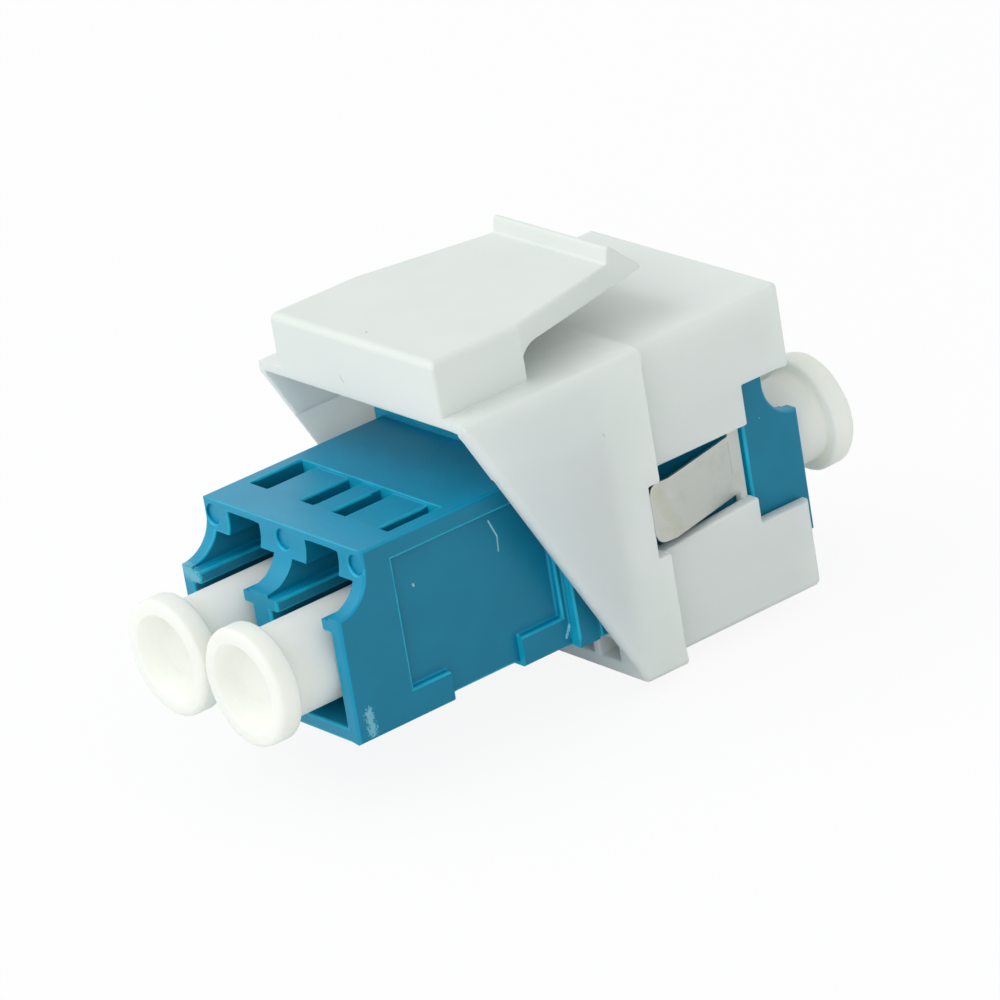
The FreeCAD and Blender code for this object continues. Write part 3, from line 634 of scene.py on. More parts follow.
BLUE_MOULDING = Plastic(
    name="blue_moulding", colour=(0.001, 0.285, 0.485), shade=(0.001, 0.268, 0.455),
    mark=(0.10, 0.42, 0.58), roughness=(0.32, 0.42), specular=0.48,
    sheen_tint=(0.6, 0.9, 1.0), grain_size=0.09, grain_height=0.005,
    mottle_size=2.2, speck_spacing=1.1, speck_size=0.04, scuff=0.35,
    # Painted shade on faces that look along X, and a painted cyan highlight on rounded outer edges.
    painted_flank_shade=(1.0, 0.66, 0.66), edge_highlight_colour=(0.01, 0.47, 0.68), edge_highlight_amount=0.9,
    strokes=(
        # Pale torn flash on the lip of the left port.
        Stroke((-6.25, -18.5, 9.0), (-5.3, -18.62, 8.6), 0.42, (0.16, 0.5, 0.62), 0.75, 3.0),
        # Kinked scratch on the right side panel.
        Stroke((6.02, -8.88, 10.52), (6.02, -8.51, 9.58), 0.05, (0.33, 0.62, 0.74), 0.9, 0.5),
        Stroke((6.02, -8.51, 9.58), (6.02, -8.57, 8.81), 0.045, (0.33, 0.62, 0.74), 0.8, 0.5),
        # Rubbed patch low on the right side, by the mouth.
        Stroke((6.42, -17.9, 4.1), (6.42, -17.82, 3.05), 0.24, (0.2, 0.52, 0.62), 0.8, 4.5),
        # Speck on the panel and a nick by the weld flange.
        Stroke((6.02, -13.83, 9.13), (6.02, -13.8, 9.05), 0.07, (0.35, 0.6, 0.7), 0.8, 1.0),
        Stroke((6.42, -5.4, 3.75), (6.42, -5.7, 3.15), 0.09, (0.35, 0.65, 0.78), 0.7, 2.0)))
CAP_PLASTIC = Plastic(
    name="white_polyethylene", colour=(0.9, 0.895, 0.84), shade=(0.885, 0.875, 0.815),
    mark=(0.84, 0.82, 0.74), roughness=(0.48, 0.6), specular=0.35, glow=0.7,
    glow_colour=(1.0, 0.96, 0.82), glow_depth=1.5, grain_size=0.16, grain_height=0.006,
    mottle_size=2.4, speck_spacing=2.6, speck_size=0.035, scuff=0.2)
CERAMIC = Plastic(
    name="zirconia_ceramic", colour=(0.86, 0.85, 0.80), shade=(0.84, 0.83, 0.78),
    mark=(0.7, 0.7, 0.66), roughness=(0.12, 0.2), specular=0.6, grain_size=0.05,
    grain_height=0.001, mottle_size=1.0, scuff=0.1)


# --------------------------------------------------------------------------- meshes


def new_object(name: str,
               data: bpy.types.Mesh | bpy.types.Camera | bpy.types.Light) -> bpy.types.Object:
    """Put an object into the scene, at the origin of the row frame.

    Args:
        name: Name of the object.
        data: Its mesh, camera or lamp.

    Returns:
        The new object.
    """
    thing = bpy.data.objects.new(name, data)
    bpy.context.scene.collection.objects.link(thing)
    return thing


def finish_mesh(name: str, mesh: bmesh.types.BMesh) -> bpy.types.Object:
    """Turn a bmesh into a piece with smooth faces split at sharp edges.

    Args:
        name: Name of the piece.
        mesh: Geometry in metres; it is freed.

    Returns:
        The new piece.
    """
    bmesh.ops.recalc_face_normals(mesh, faces=mesh.faces)
    data = bpy.data.meshes.new(name)
    mesh.to_mesh(data)
    mesh.free()
    data.shade_smooth()
    return new_object(name, data)


def add_ring(mesh: bmesh.types.BMesh, middle: Vector, radius: float, sides: int,
             sink: Callable[[float], float] | None = None, lean: float = 0.0) -> list:
    """Add vertices round an axis along Y, or a single one where the radius is nought.

    Args:
        mesh: Mesh that takes the vertices.
        middle: Middle of the ring in millimetres.
        radius: Radius in millimetres.
        sides: Number of vertices.
        sink: How far the ring stands in at an angle, in millimetres; nowhere if left out.
        lean: Move along Y for each millimetre that it stands in.

    Returns:
        The new vertices in order.
    """
    ring = []
    for side in range(sides if radius else 1):
        angle = math.tau * side / sides
        depth = sink(angle) if sink else 0.0
        reach = radius - depth
        place = middle + Vector((reach * math.cos(angle), lean * depth,
                                 reach * math.sin(angle)))
        ring.append(mesh.verts.new(place * MM))
    return ring


def join_rings(mesh: bmesh.types.BMesh, first: list, second: list) -> None:
    """Add faces between two rings of vertices, either of which may be a single point.

    Args:
        mesh: Mesh that holds the vertices.
        first: Vertices of one ring.
        second: Vertices of the other, in the same order.
    """
    count = max(len(first), len(second))
    for side in range(count):
        after = (side + 1) % count
        if len(first) == 1:
            mesh.faces.new((first[0], second[side], second[after]))
        elif len(second) == 1:
            mesh.faces.new((first[side], first[after], second[0]))
        else:
            mesh.faces.new((first[side], first[after], second[after], second[side]))


def line_gap(place: Vector, start: Vector, end: Vector) -> float:
    """Distance from a place to the endless line through two others."""
    return (place - intersect_point_line(place, start, end)[0]).length


def segment_gap(place: Vector, start: Vector, end: Vector) -> float:
    """Distance from a place to the straight piece between two others.

    Args:
        place: The place.
        start: One end of the piece.
        end: Its other end.

    Returns:
        The distance, in the units of the places.
    """
    nearest, share = intersect_point_line(place, start, end)
    if share < 0.0:
        return (place - start).length
    if share > 1.0:
        return (place - end).length
    return (place - nearest).length


def face_reach(edge: bmesh.types.BMEdge) -> float:
    """How far the narrower of an edge's two faces reaches from the edge.

    Args:
        edge: The edge.

    Returns:
        The reach in metres.
    """
    start, end = (vert.co for vert in edge.verts)
    samples = (0.1, 0.5, 0.9)
    reaches = []
    for face in edge.link_faces:
        across = [other for other in face.edges if not set(other.verts) & set(edge.verts)]
        if across:
            places = [start.lerp(end, share) for share in samples]
            reaches.append(min(segment_gap(place, other.verts[0].co, other.verts[1].co)
                               for place in places for other in across))
        else:
            reaches.append(max(line_gap(vert.co, start, end) for vert in face.verts))
    return min(reaches)


def stray_places(piece: bpy.types.Object, skin: BVHTree, reach: float) -> list[Vector]:
    """Places where the rounded mesh stands off the unrounded skin or folds over it.

    Args:
        piece: The piece with its rounding modifier.
        skin: Search tree of the mesh without the modifier.
        reach: Distance in metres beyond which a point has strayed.

    Returns:
        Places of the points that strayed and of the corners of folded faces.
    """
    shape = piece.evaluated_get(bpy.context.evaluated_depsgraph_get())
    rounded = shape.to_mesh()
    strayed = [vert.co.copy() for vert in rounded.vertices
               if skin.find_nearest(vert.co)[3] > reach]
    for face in rounded.polygons:
        facing = skin.find_nearest(face.center)[1]
        if facing.dot(face.normal) < FOLD_LIMIT:
            strayed += [rounded.vertices[index].co.copy() for index in face.vertices]
    rounded.calc_loop_triangles()
    for triangle in rounded.loop_triangles:
        facing = rounded.polygons[triangle.polygon_index].normal
        if triangle.area > SLIVER_AREA and triangle.normal.dot(facing) < 0.0:
            strayed += [rounded.vertices[index].co.copy() for index in triangle.vertices]
    shape.to_mesh_clear()
    return strayed


def calm_corners(piece: bpy.types.Object, skin: BVHTree, width: float) -> None:
    """Leave the few corners sharp where roundings of several edges would run into each other.

    Args:
        piece: The piece with weighted edges and its rounding modifier.
        skin: Search tree of the mesh without the modifier.
        width: Full width of the rounding in metres.
    """
    mesh = bmesh.new()
    mesh.from_mesh(piece.data)
    weights = mesh.edges.layers.float["bevel_weight_edge"]
    for _ in range(CALM_ROUNDS):
        bpy.context.view_layer.update()
        strayed = stray_places(piece, skin, CALM_SHARE * width)
        if not strayed:
            break
        for edge in mesh.edges:
            if edge[weights] == 0.0:
                continue
            start, end = (vert.co for vert in edge.verts)
            if any(segment_gap(place, start, end) < CALM_REACH * width for place in strayed):
                edge[weights] *= CALM_STEP
        mesh.to_mesh(piece.data)
    mesh.free()


def mark_edges(piece: bpy.types.Object, skin: BVHTree) -> None:
    """Note on each face whether it belongs to the rounding of an outer edge, where the materials paint a
    highlight.

    Args:
        piece: The piece with its rounding baked in.
        skin: Search tree of the mesh before rounding.
    """
    shares = []
    for face in piece.data.polygons:
        nearest, facing, _index, _gap = skin.find_nearest(face.center)
        outer = (face.center - nearest).dot(facing) <= 0.0
        turned = facing.dot(face.normal) < EDGE_TURN
        shares.append(1.0 if outer and turned else 0.0)
    layer = piece.data.attributes.new(EDGE_LAYER, "FLOAT", "FACE")
    layer.data.foreach_set("value", shares)


def is_needle(face: bmesh.types.BMFace, width: float) -> bool:
    """Whether a face is a triangle narrower than a rounding, which would fold it over.

    Args:
        face: The face.
        width: Width of the rounding in metres.

    Returns:
        True for such a triangle.
    """
    if len(face.verts) != 3:
        return False
    longest = max(edge.calc_length() for edge in face.edges)
    return 2 * face.calc_area() < width * longest


def bake_modifiers(piece: bpy.types.Object) -> None:
    """Turn a piece's modifiers into plain geometry.

    Args:
        piece: The piece, which keeps its name and materials.
    """
    shape = piece.evaluated_get(bpy.context.evaluated_depsgraph_get())
    data = bpy.data.meshes.new_from_object(shape)
    data.name = piece.name
    piece.modifiers.clear()
    piece.data = data


def part_ends(mesh: bmesh.types.BMesh, width: float) -> None:
    """Part the ends of long sharp edges, so that a crowded corner calms only its own end.

    Args:
        mesh: The mesh.
        width: Width of the rounding in metres.
    """
    end = END_SHARE * width
    for edge in list(mesh.edges):
        if len(edge.link_faces) != 2 or edge.calc_face_angle() < SHARP_ANGLE:
            continue
        length = edge.calc_length()
        if length > 3 * end:
            first, last = edge.verts
            rest, _middle = bmesh.utils.edge_split(edge, first, end / length)
            rest = rest if last in rest.verts else edge
            bmesh.utils.edge_split(rest, last, end / rest.calc_length())


def soften(piece: bpy.types.Object, radius: float,
           keep_sharp: Callable[[Vector], bool]) -> None:
    """Round a piece's sharp edges, narrower beside narrow faces, and even its shading.

    Args:
        piece: The piece.
        radius: Width of the rounding in millimetres.
        keep_sharp: Test of an edge's middle, in metres; edges that pass it stay sharp.
    """
    mesh = bmesh.new()
    mesh.from_mesh(piece.data)
    part_ends(mesh, radius * MM)
    weights = mesh.edges.layers.float.new("bevel_weight_edge")
    for edge in mesh.edges:
        if len(edge.link_faces) != 2 or edge.calc_face_angle() < SHARP_ANGLE:
            continue
        middle = (edge.verts[0].co + edge.verts[1].co) / 2
        if keep_sharp(middle):
            continue
        around = (face for vert in edge.verts for face in vert.link_faces)
        if any(is_needle(face, radius * MM) for face in around):
            continue
        edge[weights] = min(1.0, FACE_SHARE * face_reach(edge) / (radius * MM))
    skin = BVHTree.FromBMesh(mesh)
    mesh.to_mesh(piece.data)
    mesh.free()
    bevel = piece.modifiers.new("rounded_edges", "BEVEL")
    bevel.limit_method = "WEIGHT"
    bevel.width = radius * MM
    bevel.segments = EDGE_FACES
    bevel.use_clamp_overlap = False
    bevel.miter_outer = "MITER_SHARP"
    bevel.loop_slide = False
    calm_corners(piece, skin, radius * MM)
    bake_modifiers(piece)
    mark_edges(piece, skin)
    even_shading(piece)


def even_shading(piece: bpy.types.Object) -> None:
    """Shade flats flat and roundings round: at each corner the widest faces lead.

    Args:
        piece: The piece, with its modifiers baked in.
    """
    data = piece.data
    mesh = bmesh.new()
    mesh.from_mesh(data)
    least = math.cos(CREASE_ANGLE)
    normals = []
    for face in mesh.faces:
        for vert in face.verts:
            total = Vector()
            for other in vert.link_faces:
                if other.normal.dot(face.normal) >= least:
                    total += other.normal * (other.calc_area() / MM ** 2) ** 2
            normals.append(total.normalized() if total.length > 0.0 else face.normal.copy())
    mesh.free()
    data.normals_split_custom_set(normals)


def cad_copy(node: str, name: str) -> bpy.types.Object:
    """Copy of a CAD node with its coplanar facets joined into single faces.

    Args:
        node: Name of the CAD node.
        name: Name of the new piece.

    Returns:
        The new piece, with no modifiers yet.
    """
    source = FRAME.nodes[node]
    mesh = bmesh.new()
    mesh.from_mesh(source.data)
    bmesh.ops.remove_doubles(mesh, verts=mesh.verts, dist=WELD)
    bmesh.ops.dissolve_limit(mesh, angle_limit=FLAT_ANGLE, verts=mesh.verts, edges=mesh.edges)
    bmesh.ops.dissolve_degenerate(mesh, dist=WELD, edges=mesh.edges)
    bmesh.ops.join_triangles(mesh, faces=mesh.faces, angle_face_threshold=STRIP_ANGLE,
                             angle_shape_threshold=math.pi)
    return finish_mesh(name, mesh)


@dataclass
class Corner:
    """A corner of an outline, in millimetres, with the radius that rounds it."""

    across: float
    up: float
    radius: float = 0.0


def rounded_outline(corners: Sequence[Corner], steps: int) -> list[tuple[float, float]]:
    """Open outline through corners, each but the two ends rounded with its own radius.

    Args:
        corners: The corners in order.
        steps: Straight parts of each rounding.

    Returns:
        Points of the outline in millimetres.
    """
    points: list[tuple[float, float]] = []
    ends = (0, len(corners) - 1)
    for index, corner in enumerate(corners):
        here = Vector((corner.across, corner.up))
        if corner.radius <= 0 or index in ends:
            points.append((here.x, here.y))
            continue
        before, after = corners[index - 1], corners[index + 1]
        back = Vector((before.across, before.up)) - here
        ahead = Vector((after.across, after.up)) - here
        turn = math.pi - back.angle(ahead)
        reach = corner.radius * math.tan(turn / 2)
        start = here + back.normalized() * reach
        end = here + ahead.normalized() * reach
        bisector = (back.normalized() + ahead.normalized()).normalized()
        centre = here + bisector * corner.radius / math.cos(turn / 2)
        first = start - centre
        swing = math.atan2(first.x * (end - centre).y - first.y * (end - centre).x,
                           first.dot(end - centre))
        for step in range(steps + 1):
            angle = swing * step / steps
            cosine, sine = math.cos(angle), math.sin(angle)
            point = centre + Vector((first.x * cosine - first.y * sine,
                                     first.x * sine + first.y * cosine))
            points.append((point.x, point.y))
    return points


class Frame:
    """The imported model, loaded once by main."""

    def __init__(self) -> None:
        """Start empty; load() fills the nodes and the CAD box."""
        self.nodes: dict = {}
        self.box: tuple = ()

    def load(self) -> None:
        """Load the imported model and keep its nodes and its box."""
        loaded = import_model()
        self.nodes = loaded["nodes"]
        self.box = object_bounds()


FRAME = Frame()


def node_box(node: str) -> tuple[Vector, Vector]:
    """Lowest and highest corners of a CAD node, in millimetres."""
    low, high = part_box(node)
    return Vector(low) / MM, Vector(high) / MM


# --------------------------------------------------------------------------- sub-assemblies


@dataclass
class CarrierMoulding:
    """White keystone carrier, its moulded edges rounded; lengths in millimetres."""

    node: str = "keystone_carrier"
    edge_radius: float = 0.12
    root_margin: float = 0.1

    def build(self, material: bpy.types.Material) -> bpy.types.Object:
        """Build and dress the carrier.

        Args:
            material: The white plastic.

        Returns:
            The carrier.
        """
        piece = cad_copy(self.node, "carrier_moulding")
        piece.data.materials.append(material)
        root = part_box("snap_latch")[0]
        margin = self.root_margin * MM

        def at_root(middle: Vector) -> bool:
            """Whether an edge lies round the root of the latch arm, where the skin goes on."""
            return abs(middle.y - root.y) < margin and middle.z > root.z - margin / 2

        soften(piece, self.edge_radius, keep_sharp=at_root)
        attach(piece, Body.ADAPTER.value)
        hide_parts(self.node)
        return piece


@dataclass
class SnapLatch:
    """Latch arm that tapers to its wedge, one skin with the carrier's root block.

    Lengths are millimetres. The wedge's corners are (y, z, radius that rounds them).
    """

    node: str = "snap_latch"
    root: float = -5.552
    root_half_width: float = 6.48
    end_half_width: float = 4.43
    arm_top: float = 19.6
    underside: float = 18.4
    root_centre: tuple[float, float] = (-4.45, 16.984)
    root_radius: float = 1.416
    heel: tuple[float, float, float] = (1.7, 19.68, 0.16)
    peak: tuple[float, float, float] = (1.9, 20.67, 0.17)
    tip: tuple[float, float, float] = (3.92, 18.82, 0.14)
    foot: tuple[float, float, float] = (2.1, 18.4, 0.5)
    root_rounding: float = 0.4
    wedge_rounding: float = 0.13
    lower_rounding: float = 0.1
    top_band: float = 0.5
    tip_start: float = 3.1
    bend_end: float = -3.0
    steps: int = 5

    def outline(self) -> list[tuple[float, float]]:
        """Side outline, from the top of the root round the wedge and back to the root.

        Returns:
            Depth and height of each point.
        """
        bottom = (self.heel[0], self.underside)
        corners = [Corner(self.root, self.arm_top), Corner(*self.heel), Corner(*self.peak),
                   Corner(*self.tip), Corner(*self.foot), Corner(*bottom)]
        points = rounded_outline(corners, self.steps)
        middle, radius = self.root_centre, self.root_radius
        end = math.acos((self.root - middle[0]) / radius)
        for step in range(2 * self.steps + 1):
            angle = math.pi / 2 + (end - math.pi / 2) * step / (2 * self.steps)
            points.append((middle[0] + radius * math.cos(angle),
                           middle[1] + radius * math.sin(angle)))
        return points

    def taper(self, depth: float) -> float:
        """Share of the arm's taper behind a depth along Y: 0 at the root, 1 from the heel on."""
        return min(1.0, (depth - self.root) / (self.heel[0] - self.root))

    def half_width(self, depth: float) -> float:
        """Half of the arm's width at a depth along Y."""
        narrower = self.end_half_width - self.root_half_width
        return self.root_half_width + narrower * self.taper(depth)

    def rounding(self, depth: float, height: float) -> float:
        """Radius of the side edge next to a point of the outline.

        Args:
            depth: The point's depth along Y.
            height: Its height.

        Returns:
            The radius: one below and at the tip, and along the top narrowing to the wedge.
        """
        if height < self.arm_top - self.top_band or depth > self.tip_start:
            return self.lower_rounding
        smaller = self.wedge_rounding - self.root_rounding
        return self.root_rounding + smaller * self.taper(depth)

    def layer(self, points: Sequence[tuple[float, float]], side: int,
              turn: float) -> list[Vector]:
        """Outline moved in across the rounding of its side edge.

        Args:
            points: The side outline.
            side: 1 for the right side, -1 for the left.
            turn: How far round the edge, from 0 on the rim to a right angle on the flank.

        Returns:
            Places of the layer's points in millimetres.
        """
        places = []
        for index, (depth, height) in enumerate(points):
            before, after = points[index - 1], points[(index + 1) % len(points)]
            along = Vector((after[0] - before[0], after[1] - before[1])).normalized()
            inward = Vector((along.y, -along.x))
            radius = self.rounding(depth, height)
            move = inward * radius * (1 - math.cos(turn))
            if depth <= self.root:
                move.x = 0.0
            across = self.half_width(depth) - radius * (1 - math.sin(turn))
            places.append(Vector((side * across, depth + move.x, height + move.y)))
        return places

    def build(self, material: bpy.types.Material) -> bpy.types.Object:
        """Build and dress the arm; its root bends as one skin with the block.

        Args:
            material: The white plastic.

        Returns:
            The arm.
        """
        points = self.outline()
        turns = [math.pi / 2 * step / self.steps for step in range(self.steps + 1)]
        layers = [self.layer(points, -1, turn) for turn in reversed(turns)]
        layers += [self.layer(points, 1, turn) for turn in turns]
        mesh = bmesh.new()
        rings = [[mesh.verts.new(place * MM) for place in places] for places in layers]
        for first, second in zip(rings, rings[1:]):
            join_rings(mesh, first, second)

        def nearest(place: tuple[float, float]) -> int:
            """Index of the outline's point nearest to a place."""
            return min(range(len(points)), key=lambda index: math.dist(points[index], place))

        split, low = nearest(self.heel[:2]), nearest((self.heel[0], self.underside))
        for ring in (rings[0], rings[-1]):
            mesh.faces.new(ring[split:low + 1])
            mesh.faces.new(ring[low:] + ring[:split + 1])
        piece = finish_mesh("latch_moulding", mesh)
        piece.data.materials.append(material)
        even_shading(piece)
        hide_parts(self.node)
        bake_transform(piece, Body.ADAPTER.value, Body.LATCH.value,
                 (0.0, self.root * MM, self.arm_top * MM),
                 (0.0, self.bend_end * MM, self.arm_top * MM))
        return piece


@dataclass
class AdapterHalf:
    """One blue half of the adapter; lengths in millimetres.

    The mouth's upper face lies mouth away from the weld. The CAD model's pin pockets are sunk
    below it by a depth within pocket, and their floors are raised by pocket_rise.
    """

    end: End
    edge_radius: float = 0.13
    weld: float = -4.06
    mouth: float = 12.68
    pocket: tuple[float, float] = (0.2, 0.3)
    pocket_rise: float = 0.08
    dimple_radius: float = 0.53
    dimple_depth: float = 0.18
    dimple_chamfer: float = 0.06
    dimple_reach: float = 0.68
    dimple_places: tuple[tuple[float, float], ...] = ((-5.72, 11.2), (0.0, 11.2), (5.72, 11.2))
    dimple_sides: int = 48
    wall_slopes: tuple[float, float] = (0.3, 0.9)

    def at_dimple(self, middle: Vector) -> bool:
        """Whether a place is on an ejector pin's round mark, which stays crisp."""
        across, up = middle.x / MM, middle.z / MM
        return any(math.dist((across, up), place) < self.dimple_reach
                   for place in self.dimple_places)

    def sink_dimples(self, piece: bpy.types.Object) -> None:
        """Sink the pin marks clear of the curved cheeks, shallow and with a fine chamfer.

        Args:
            piece: The half, whose CAD pockets partly lie under the cheeks' skin.
        """
        outward = self.end.value
        face = self.weld + outward * self.mouth
        for vert in piece.data.vertices:
            behind = (face - vert.co.y / MM) * outward
            if self.pocket[0] < behind < self.pocket[1] and self.at_dimple(vert.co):
                vert.co.y += outward * self.pocket_rise * MM
        cutter = self.pin_cutter(face)
        cut = piece.modifiers.new("pin_marks", "BOOLEAN")
        cut.operation = "DIFFERENCE"
        cut.solver = "EXACT"
        cut.object = cutter
        bake_modifiers(piece)
        bpy.data.objects.remove(cutter)
        # The chamfer round each pin mark takes the painted edge highlight.
        shares = piece.data.attributes[EDGE_LAYER].data
        flat, steep = self.wall_slopes
        for polygon in piece.data.polygons:
            if self.at_dimple(polygon.center) and flat < abs(polygon.normal.y) < steep:
                shares[polygon.index].value = 1.0
        even_shading(piece)

    def pin_cutter(self, face: float) -> bpy.types.Object:
        """Three round punches that leave a chamfered mark.

        Args:
            face: Place of the mouth's face along Y, in millimetres.

        Returns:
            The punches as one piece.
        """
        slope = self.dimple_chamfer
        wide, outer = self.dimple_radius + 1.5 * slope, 4 * self.dimple_radius
        profile = [(0.0, -self.dimple_depth), (self.dimple_radius, -self.dimple_depth),
                   (self.dimple_radius, -slope), (wide, slope / 2), (wide, outer), (0.0, outer)]
        mesh = bmesh.new()
        for across, up in self.dimple_places:
            rings = []
            for radius, lift in profile:
                middle = Vector((across, face + self.end.value * lift, up))
                rings.append(add_ring(mesh, middle, radius, self.dimple_sides))
            for inner, outer_ring in zip(rings, rings[1:]):
                join_rings(mesh, inner, outer_ring)
        return finish_mesh("pin_punches", mesh)

    def build(self, material: bpy.types.Material) -> bpy.types.Object:
        """Build and dress the half.

        Args:
            material: The blue plastic.

        Returns:
            The half.
        """
        label = self.end.name.lower()
        node = "adapter_%s_half" % label
        piece = cad_copy(node, "%s_half_moulding" % label)
        piece.data.materials.append(material)
        soften(piece, self.edge_radius, keep_sharp=self.at_dimple)
        self.sink_dimples(piece)
        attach(piece, Body.ADAPTER.value)
        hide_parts(node)
        return piece


@dataclass
class SplitSleeve:
    """Ceramic sleeve inside a barrel; the CAD node stays and gets its finish."""

    node: str

    def build(self, material: bpy.types.Material) -> bpy.types.Object:
        """Dress the sleeve.

        Args:
            material: The ceramic.

        Returns:
            The CAD node's own object.
        """
        sleeve = FRAME.nodes[self.node]
        sleeve.data.materials.clear()
        sleeve.data.materials.append(material)
        return sleeve


@dataclass
class SpringClip:
    """Folded strip under the front half with a sprung leaf at each side.

    Lengths are millimetres to the middle of the strip's thickness.
    """

    node: str = "spring_clip"
    half_width: float = 6.12
    floor: float = 2.74
    bend: float = 0.12
    thickness: float = 0.2
    band_back: float = 0.3
    band_front: float = 4.6
    band_low: float = 4.27
    band_top: float = 5.45
    post_back: float = 6.07
    post_front: float = 6.8
    post_top: float = 9.85
    leaf_low: float = 6.12
    leaf_high: float = 9.3
    leaf_run: float = 6.2
    leaf_flare: float = 1.4
    leaf_corner: float = 0.55
    leaf_rows: int = 16
    tip_run: float = 1.2
    tip_return: float = 0.16
    edge_rounding: float = 0.045
    edge_angle: float = 60.0
    seam: float = 0.002
    steps: int = 5

    def add_patch(self, mesh: bmesh.types.BMesh, rows: Sequence[Sequence[Vector]]) -> None:
        """Add faces through rows of places.

        Args:
            mesh: Mesh that takes the faces.
            rows: Places in millimetres, all rows equally long.
        """
        lines = [[mesh.verts.new(place * MM) for place in row] for row in rows]
        for low, high in zip(lines, lines[1:]):
            for index in range(len(low) - 1):
                mesh.faces.new((low[index], low[index + 1], high[index + 1], high[index]))

    def saddle(self) -> list[list[Vector]]:
        """Strip across the bottom, turned up at both sides as far as the bands.

        Returns:
            Rows of places in millimetres.
        """
        section = [Vector((self.half_width, self.band_low))]
        for step in range(self.steps + 1):
            angle = -math.pi / 2 * step / self.steps
            section.append(Vector((
                self.half_width - self.bend + self.bend * math.cos(angle),
                self.floor + self.bend + self.bend * math.sin(angle))))
        section += [Vector((-point.x, point.y)) for point in reversed(section)]
        return [[Vector((point.x, depth, point.y)) for point in section]
                for depth in (self.band_back, self.band_front)]

    def flat(self, side: int, depths: Sequence[float],
             heights: Sequence[float]) -> list[list[Vector]]:
        """Flat patch of one side between given depths and heights."""
        return [[Vector((side * self.half_width, depth, height)) for height in heights]
                for depth in depths]

    def leaf(self, side: int) -> list[list[Vector]]:
        """Leaf folded off the post, flaring outward, its tip turned back in a little.

        Args:
            side: 1 for the right side, -1 for the left.

        Returns:
            Rows of places in millimetres, from the post to the tip with its round corners.
        """
        corner_steps = self.steps + 1
        runs = [self.leaf_run * step / self.leaf_rows for step in range(self.leaf_rows - 2)]
        runs += [self.leaf_run - self.leaf_corner * math.cos(math.pi / 2 * step / corner_steps)
                 for step in range(corner_steps + 1)]
        bend = self.leaf_run - self.tip_run
        rows = []
        for run in runs:
            off = self.leaf_flare * min(run, bend) / bend
            past = max(0.0, run - bend) / self.tip_run
            off -= self.tip_return * past * past
            into = max(0.0, run - (self.leaf_run - self.leaf_corner))
            cut = self.leaf_corner - math.sqrt(max(0.0, self.leaf_corner ** 2 - into ** 2))
            rows.append([Vector((side * (self.half_width + off), self.post_back - run, height))
                         for height in (self.leaf_low + cut, self.leaf_high - cut)])
        return rows

    def build(self, material: bpy.types.Material) -> bpy.types.Object:
        """Build and dress the clip.

        Args:
            material: The spring steel.

        Returns:
            The clip.
        """
        mesh = bmesh.new()
        self.add_patch(mesh, self.saddle())
        for side in (-1, 1):
            self.add_patch(mesh, self.flat(
                side, (self.band_back, self.band_front, self.post_back, self.post_front),
                (self.band_low, self.band_top)))
            self.add_patch(mesh, self.flat(
                side, (self.post_back, self.post_front),
                (self.band_top, self.leaf_low, self.leaf_high, self.post_top)))
            self.add_patch(mesh, self.leaf(side))
        bmesh.ops.remove_doubles(mesh, verts=mesh.verts, dist=self.seam * MM)
        piece = finish_mesh("clip_strip", mesh)
        piece.data.materials.append(material)
        sheet = piece.modifiers.new("sheet_thickness", "SOLIDIFY")
        sheet.thickness = self.thickness * MM
        sheet.offset = 0.0
        sheet.use_even_offset = True
        bevel = piece.modifiers.new("rounded_edges", "BEVEL")
        bevel.limit_method = "ANGLE"
        bevel.angle_limit = math.radians(self.edge_angle)
        bevel.width = self.edge_rounding * MM
        bevel.segments = EDGE_FACES
        bake_modifiers(piece)
        even_shading(piece)
        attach(piece, Body.ADAPTER.value)
        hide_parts(self.node)
        return piece


